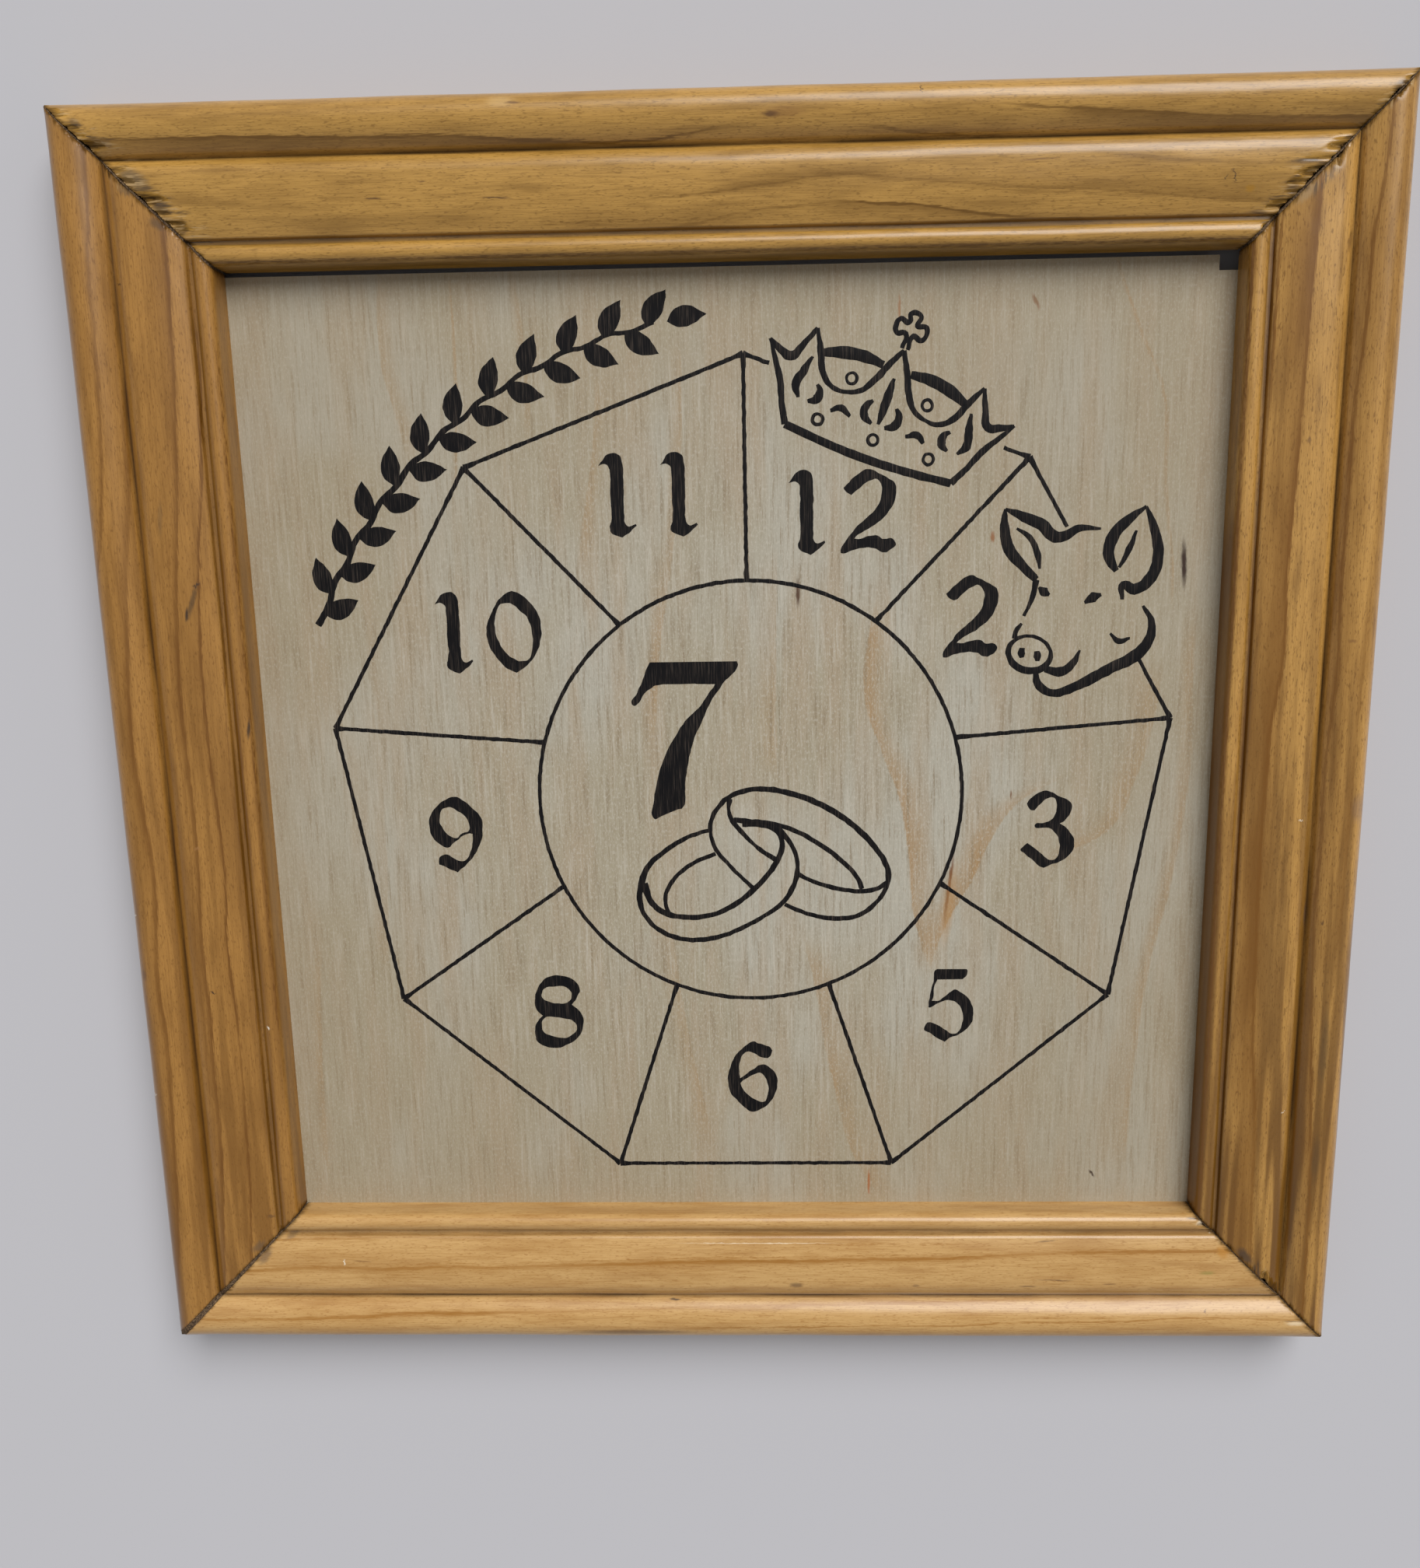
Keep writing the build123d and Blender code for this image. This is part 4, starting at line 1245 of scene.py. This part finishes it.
# Two linked rings under the seven
linkedRings = [
    [(-8.5, -20.2, 1.2), (-15, -22.3, 1.4), (-22, -26.5, 1.5), (-28, -32, 1.9), (-30.2, -38.5, 2.2),
     (-30.6, -43, 1.6), (-28.5, -48.3, 1.5), (-24, -52.6, 1.5), (-18, -55, 1.5), (-12, -55.4, 1.6),
     (-5, -54.2, 1.5), (2, -51.3, 1.4), (8.5, -47.8, 1.4), (14, -43.8, 1.5), (17.3, -39, 1.6),
     (18.9, -34, 1.6), (18.7, -29, 1.4), (16.8, -24.4, 1.4), (14, -21, 2.0), (11.5, -19, 2.0)],
    [(-29, -37, 2.4), (-27.3, -42.5, 1.8), (-23, -46.5, 1.8), (-17, -47.9, 1.7), (-8, -47.3, 1.6),
     (0, -43.5, 1.7), (5.2, -39.3, 1.8), (10.4, -33.6, 1.7), (13.4, -28.6, 1.8), (14.3, -24, 1.6),
     (12.4, -20.6, 1.4), (8, -18.9, 1.2), (2, -18.7, 1.2)],
    [(-6.5, -27.7, 1.4), (-12, -29.8, 1.3), (-17, -33, 1.3), (-21, -37.5, 1.4), (-22.6, -42, 1.3),
     (-21.8, -46.6, 1.4)],
    [(15, -44.1, 1.2), (19, -46, 1.3), (25, -48, 1.4), (32, -48.8, 1.6), (38, -47.8, 1.5), (43, -44.3, 1.4),
     (46.4, -39.5, 1.4), (47.3, -35, 1.7), (46.3, -31, 1.8), (43, -26, 1.7), (38, -20.5, 1.9),
     (32, -15.8, 2.0), (25, -11.8, 1.9), (17, -8.9, 1.8), (9, -7.4, 1.8), (3, -7.9, 1.7), (-2, -9.9, 1.5),
     (-5.6, -13.3, 1.4), (-7.7, -17.5, 1.5), (-7.9, -21, 1.2), (-6.2, -26.5, 1.4), (-3, -30.5, 1.2),
     (1, -34.8, 1.3), (5, -38.6, 1.5)],
    [(-1.7, -10.4, 1.6), (-2.2, -14, 1.2), (-1, -17.3, 1.6), (1.5, -20.5, 1.3), (5, -24.3, 1.2),
     (9, -27.6, 1.4), (12.4, -29.8, 1.8)],
    [(-0.6, -17, 1.6), (5, -17.6, 1.6), (11, -18.3, 1.7), (18, -20.5, 1.5), (26, -25, 1.5),
     (33, -30.5, 1.5), (37.5, -35.5, 1.5), (39.2, -39.3, 1.6)],
    [(19, -34.4, 1.5), (24, -36.8, 1.4), (30, -38.8, 1.5), (36, -39.9, 1.4), (40.5, -40, 1.5),
     (44, -39.2, 1.4), (46.8, -37.4, 1.4)],
]
inkStrokes("linkedRings", linkedRings)
print("rings drawn")


# Crown over the twelve, drawn upright about the middle of its base, then tilted; one side is mirrored
crown = {"middle": Vector((40.5, 91.2)), "tilt": -20, "weight": 1.2, "jewel": 1.5, "jewelLine": 0.8}
crownMiddle = [
    [(-25.8, 0.3, 1.9), (-12, -0.9, 2.0), (0, -1.3, 2.1), (12, -0.9, 2.0), (25.8, 0.3, 1.9)],
    [(-0.9, 31.0, 1.0), (-1.2, 35.0, 1.3), (-3.8, 34.6, 1.2), (-4.6, 36.6, 1.2), (-3.8, 38.4, 1.2),
     (-1.4, 38.2, 1.3), (-1.5, 40.6, 1.2), (0, 41.4, 1.2), (1.5, 40.6, 1.2), (1.4, 38.2, 1.3),
     (3.8, 38.4, 1.2), (4.6, 36.6, 1.2), (3.8, 34.6, 1.2), (1.2, 35.0, 1.3), (0.9, 31.0, 1.0)],
    [(0, 9.0, 0.8), (0, 12.5, 1.9), (0, 17.5, 2.3), (0, 22.5, 0.8)],
]
crownSide = [
    [(25.8, 0.3, 1.7), (28.8, 6, 1.4), (31.2, 11.5, 1.6), (34.4, 16.5, 1.3), (37.6, 21.4, 0.8)],
    [(37.6, 21.4, 0.8), (33.6, 19.4, 1.8), (30.4, 18.6, 2.2), (28.2, 22.4, 1.6), (25.6, 28.4, 0.9)],
    [(25.6, 28.4, 0.9), (22.6, 22.6, 1.7), (20.2, 17.6, 1.6), (16.6, 14.6, 1.2), (12.6, 14.4, 1.0),
     (8.4, 16.0, 1.3), (5.6, 19.6, 1.7), (3.0, 25.0, 1.5), (0, 30.6, 1.2)],
    [(22.4, 22.4, 1.8), (16.5, 24.4, 3.0), (10, 25.4, 2.8), (4.2, 25.0, 1.8)],
    [(2.0, 8.6, 0.8), (4.6, 10.0, 2.2), (5.0, 13.0, 1.8), (3.6, 14.8, 0.8)],
    [(24.6, 8.6, 0.8), (26.4, 11.6, 2.2), (25.4, 16.4, 2.0), (24.4, 20.6, 0.7)],
    [(21.6, 8.4, 0.8), (19.4, 9.8, 2.3), (19.2, 12.4, 1.8), (20.6, 13.8, 0.8)],
    [(8.6, 8.4, 0.9), (11.8, 9.8, 1.9), (14.4, 8.2, 0.9)],
]
jewelsAt = ((-17.2, 4.6), (0, 4.4), (17.2, 4.6), (-11.6, 18.6), (11.6, 18.6))


def crownPlace(place):
    spot = crown["middle"] + Matrix.Rotation(radians(crown["tilt"]), 2) @ Vector(place[:2])
    return (spot.x, spot.y, place[2] * crown["weight"])


def drawCrown(name, strokes, closed=False):
    inkStrokes(name, [[crownPlace(place) for place in points] for points in strokes], closed)


def jewelStroke(x, y):
    angles = [step * pi / 3 for step in range(6)]
    reach = crown["jewel"]
    return [(x + reach * cos(angle), y + reach * sin(angle), crown["jewelLine"]) for angle in angles]


otherSide = [[(-x, y, width) for x, y, width in points] for points in crownSide]
drawCrown("crown", crownMiddle + crownSide + otherSide)
drawCrown("crownJewels", [jewelStroke(x, y) for x, y in jewelsAt], closed=True)
print("crown drawn")


# Pig's head beside the two, turned to the lower left
pigHead = [
    [(90.6, 54.6, 1.6), (89.6, 49.5, 1.2), (87.2, 44.0, 0.7)],
    [(86.6, 41.8, 0.7), (85.0, 39.6, 1.2), (84.6, 37.4, 1.4)],
    [(93.8, 28.2, 1.6), (98.8, 27.4, 2.4), (102.0, 29.6, 1.8), (104.2, 33.6, 0.6)],
    [(91.0, 27.6, 1.4), (92.2, 23.4, 2.0), (96.4, 21.0, 1.9), (102.2, 22.4, 2.2), (108.4, 25.4, 2.6),
     (114.4, 28.6, 2.6), (120.2, 31.4, 3.0), (124.4, 36.0, 2.5), (125.2, 41.4, 1.7), (122.4, 46.6, 0.7)],
    [(113.0, 38.6, 0.6), (115.6, 36.2, 1.4), (119.0, 37.0, 0.7)],
    [(81.0, 75.2, 0.7), (80.9, 69.6, 2.3), (82.4, 63.6, 2.8), (86.4, 58.8, 2.3), (90.6, 54.6, 1.6)],
    [(81.0, 75.2, 0.7), (86.4, 72.8, 2.4), (91.8, 70.4, 2.8), (95.6, 67.0, 2.8), (98.2, 67.0, 2.4),
     (102.6, 69.2, 1.8), (109.2, 69.0, 0.6)],
    [(84.4, 69.6, 0.6), (88.4, 66.8, 1.4), (90.8, 62.0, 1.5), (91.6, 57.8, 0.6)],
    [(122.2, 75.2, 0.7), (117.2, 71.6, 2.3), (112.8, 66.8, 2.9), (111.8, 61.0, 2.7), (114.2, 56.8, 1.4)],
    [(122.2, 75.2, 0.7), (124.8, 68.6, 2.2), (126.2, 61.6, 2.6), (124.4, 54.8, 2.8), (119.6, 51.4, 2.6),
     (116.4, 52.6, 2.0), (116.2, 48.4, 0.8)],
    [(119.6, 68.4, 0.6), (117.6, 63.0, 1.6), (115.0, 57.8, 0.7)],
    [(91.4, 52.4, 0.6), (93.0, 51.0, 2.4), (94.6, 50.0, 0.7)],
    [(105.2, 47.6, 0.7), (107.6, 49.2, 2.6), (110.0, 50.0, 0.8)],
    [(87.0, 34.6, 1.2), (86.8, 33.0, 1.9), (87.0, 31.6, 1.0)],
    [(91.4, 33.6, 1.2), (91.6, 32.0, 1.9), (91.6, 30.6, 1.0)],
]
pigWeight = 1.25
snout = {"centre": Vector((89.2, 32.9)), "reach": Vector((6.4, 5.1)), "tilt": radians(-14), "line": 2.0}


def snoutStroke():
    # an oval whose line is heaviest at its foot
    stroke = []
    for step in range(12):
        angle = step * pi / 6
        spot = Vector((snout["reach"].x * cos(angle), snout["reach"].y * sin(angle)))
        spot = snout["centre"] + Matrix.Rotation(snout["tilt"], 2) @ spot
        stroke.append((spot.x, spot.y, snout["line"] * (0.8 - 0.3 * sin(angle))))
    return stroke


inkStrokes("pigHead", [[(x, y, pigWeight * width) for x, y, width in points] for points in pigHead])
inkStrokes("pigSnout", [snoutStroke()], closed=True)
print("pig's head drawn")


# Leafy sprig along the upper left of the outline, about the field's centre
sprig = {
    "radius": 140.5,
    "start": 157.5,
    "stop": 100.5,
    "leaves": 22,
    "firstLeaf": 0.6,
    "length": 11.6,
    "width": 3.0,
    "slant": 46,
    "stem": 2.0,
    "thinning": 0.04,
    "sway": 0.5,
}
leafShape = ([(0, 0), (0.24, 1), (0.6, 1.05), (1, 0), (0.58, -0.7), (0.22, -0.62)], (0, 3))


def sprigSpot(angle, lift=0):
    reach = sprig["radius"] + lift
    return field["centre"] + Vector((cos(radians(angle)), sin(radians(angle)))) * reach


def sprigLeaves():
    # leaves on either side by turns, and a last one that points along the stem
    loops = []
    points, corners = leafShape
    turn = (sprig["stop"] - sprig["start"]) / sprig["leaves"]
    for number in range(sprig["leaves"] + 1):
        angle = sprig["start"] + turn * (number + sprig["firstLeaf"])
        side = 0 if number == sprig["leaves"] else (number % 2) * 2 - 1
        heading = radians(angle - 90 + side * sprig["slant"])
        root = sprigSpot(angle)
        along = Vector((cos(heading), sin(heading))) * sprig["length"]
        across = Vector((-sin(heading), cos(heading))) * sprig["width"] * (side or 1)
        placed = [root + along * x + across * y for x, y in points]
        loops.append(([(spot.x, spot.y) for spot in placed], corners))
    return loops


def sprigStem():
    count = 20
    turn = (sprig["stop"] - sprig["start"]) / count
    stroke = []
    for step in range(count + 1):
        spot = sprigSpot(sprig["start"] + turn * step, sprig["sway"] * (-1) ** step)
        stroke.append((spot.x, spot.y, sprig["stem"] - sprig["thinning"] * step))
    return stroke


inkFigure("sprigLeaves", sprigLeaves())
inkStrokes("sprigStem", [sprigStem()])
print("sprig drawn")


# Studio: plain floor, soft light from the board's upper right, camera at the photograph's angle
studio = {
    "lens": 31.25,
    "shift": (-0.0233, 0.0456),
    "cameraPlace": (16.8, 59.5, 422.9),
    "cameraTurn": (11.95, -1.84, 0.54),
    "sunFrom": (0.34, 0.73, 0.83),
    "sunSpread": 42,
    "sunStrength": 3.05,
    "skyStrength": 0.3,
    "floorReach": 30,  # metres
    "floorDrop": 0.1,
    "floor": tone(190, 189, 193),
    "backdrop": tone(188, 187, 188),
}


def buildStudio():
    bm = bmesh.new()
    bmesh.ops.create_grid(bm, x_segments=1, y_segments=1, size=studio["floorReach"])
    bmesh.ops.translate(bm, verts=bm.verts[:], vec=(0, 0, -studio["floorDrop"] * mm))
    mesh = bpy.data.meshes.new("studioFloor")
    bm.to_mesh(mesh)
    bm.free()
    floor = linkMesh("studioFloor", mesh)
    material, tree, shader = newMaterial("paleFloor", {"Roughness": 0.9, "Specular IOR Level": 0.1})
    shader.inputs["Base Color"].default_value = studio["floor"]
    mesh.materials.append(material)

    lamp = bpy.data.lights.new("keyLight", "SUN")
    lamp.angle = radians(studio["sunSpread"])
    lamp.energy = studio["sunStrength"]
    light = bpy.data.objects.new("keyLight", lamp)
    light.rotation_euler = Vector(studio["sunFrom"]).to_track_quat("Z", "Y").to_euler()
    scene.collection.objects.link(light)

    # the light of the room, and a plain backdrop wherever the camera, gloss or glass sees past the floor
    world = bpy.data.worlds.new("softSky")
    world.use_nodes = True
    tree = world.node_tree
    sky = tree.nodes["Background"]
    sky.inputs["Strength"].default_value = studio["skyStrength"]
    sky.inputs["Color"].default_value = (1, 1, 1, 1)
    backdrop = put(tree, "Background", {"Color": studio["backdrop"], "Strength": 1})
    rays = put(tree, "LightPath").outputs
    seen = calc(tree, "MAXIMUM", rays["Is Camera Ray"], rays["Is Glossy Ray"])
    seen = calc(tree, "MAXIMUM", seen, rays["Is Transmission Ray"])
    mixed = put(tree, "MixShader", {0: seen, 1: sky.outputs[0], 2: backdrop.outputs[0]})
    tree.links.new(mixed.outputs[0], tree.nodes["World Output"].inputs["Surface"])
    scene.world = world

    lensData = bpy.data.cameras.new("photoCamera")
    lensData.lens = studio["lens"]
    lensData.shift_x, lensData.shift_y = studio["shift"]
    lensData.clip_start = 0.01
    camera = bpy.data.objects.new("photoCamera", lensData)
    tilt, roll, spin = (radians(-angle) for angle in studio["cameraTurn"])
    turn = Matrix.Rotation(tilt, 4, "X") @ Matrix.Rotation(roll, 4, "Y") @ Matrix.Rotation(spin, 4, "Z")
    camera.matrix_world = Matrix.Translation(Vector(studio["cameraPlace"]) * mm) @ turn
    scene.collection.objects.link(camera)
    scene.camera = camera
    scene.view_settings.view_transform = "Standard"


buildStudio()
print("studio ready")
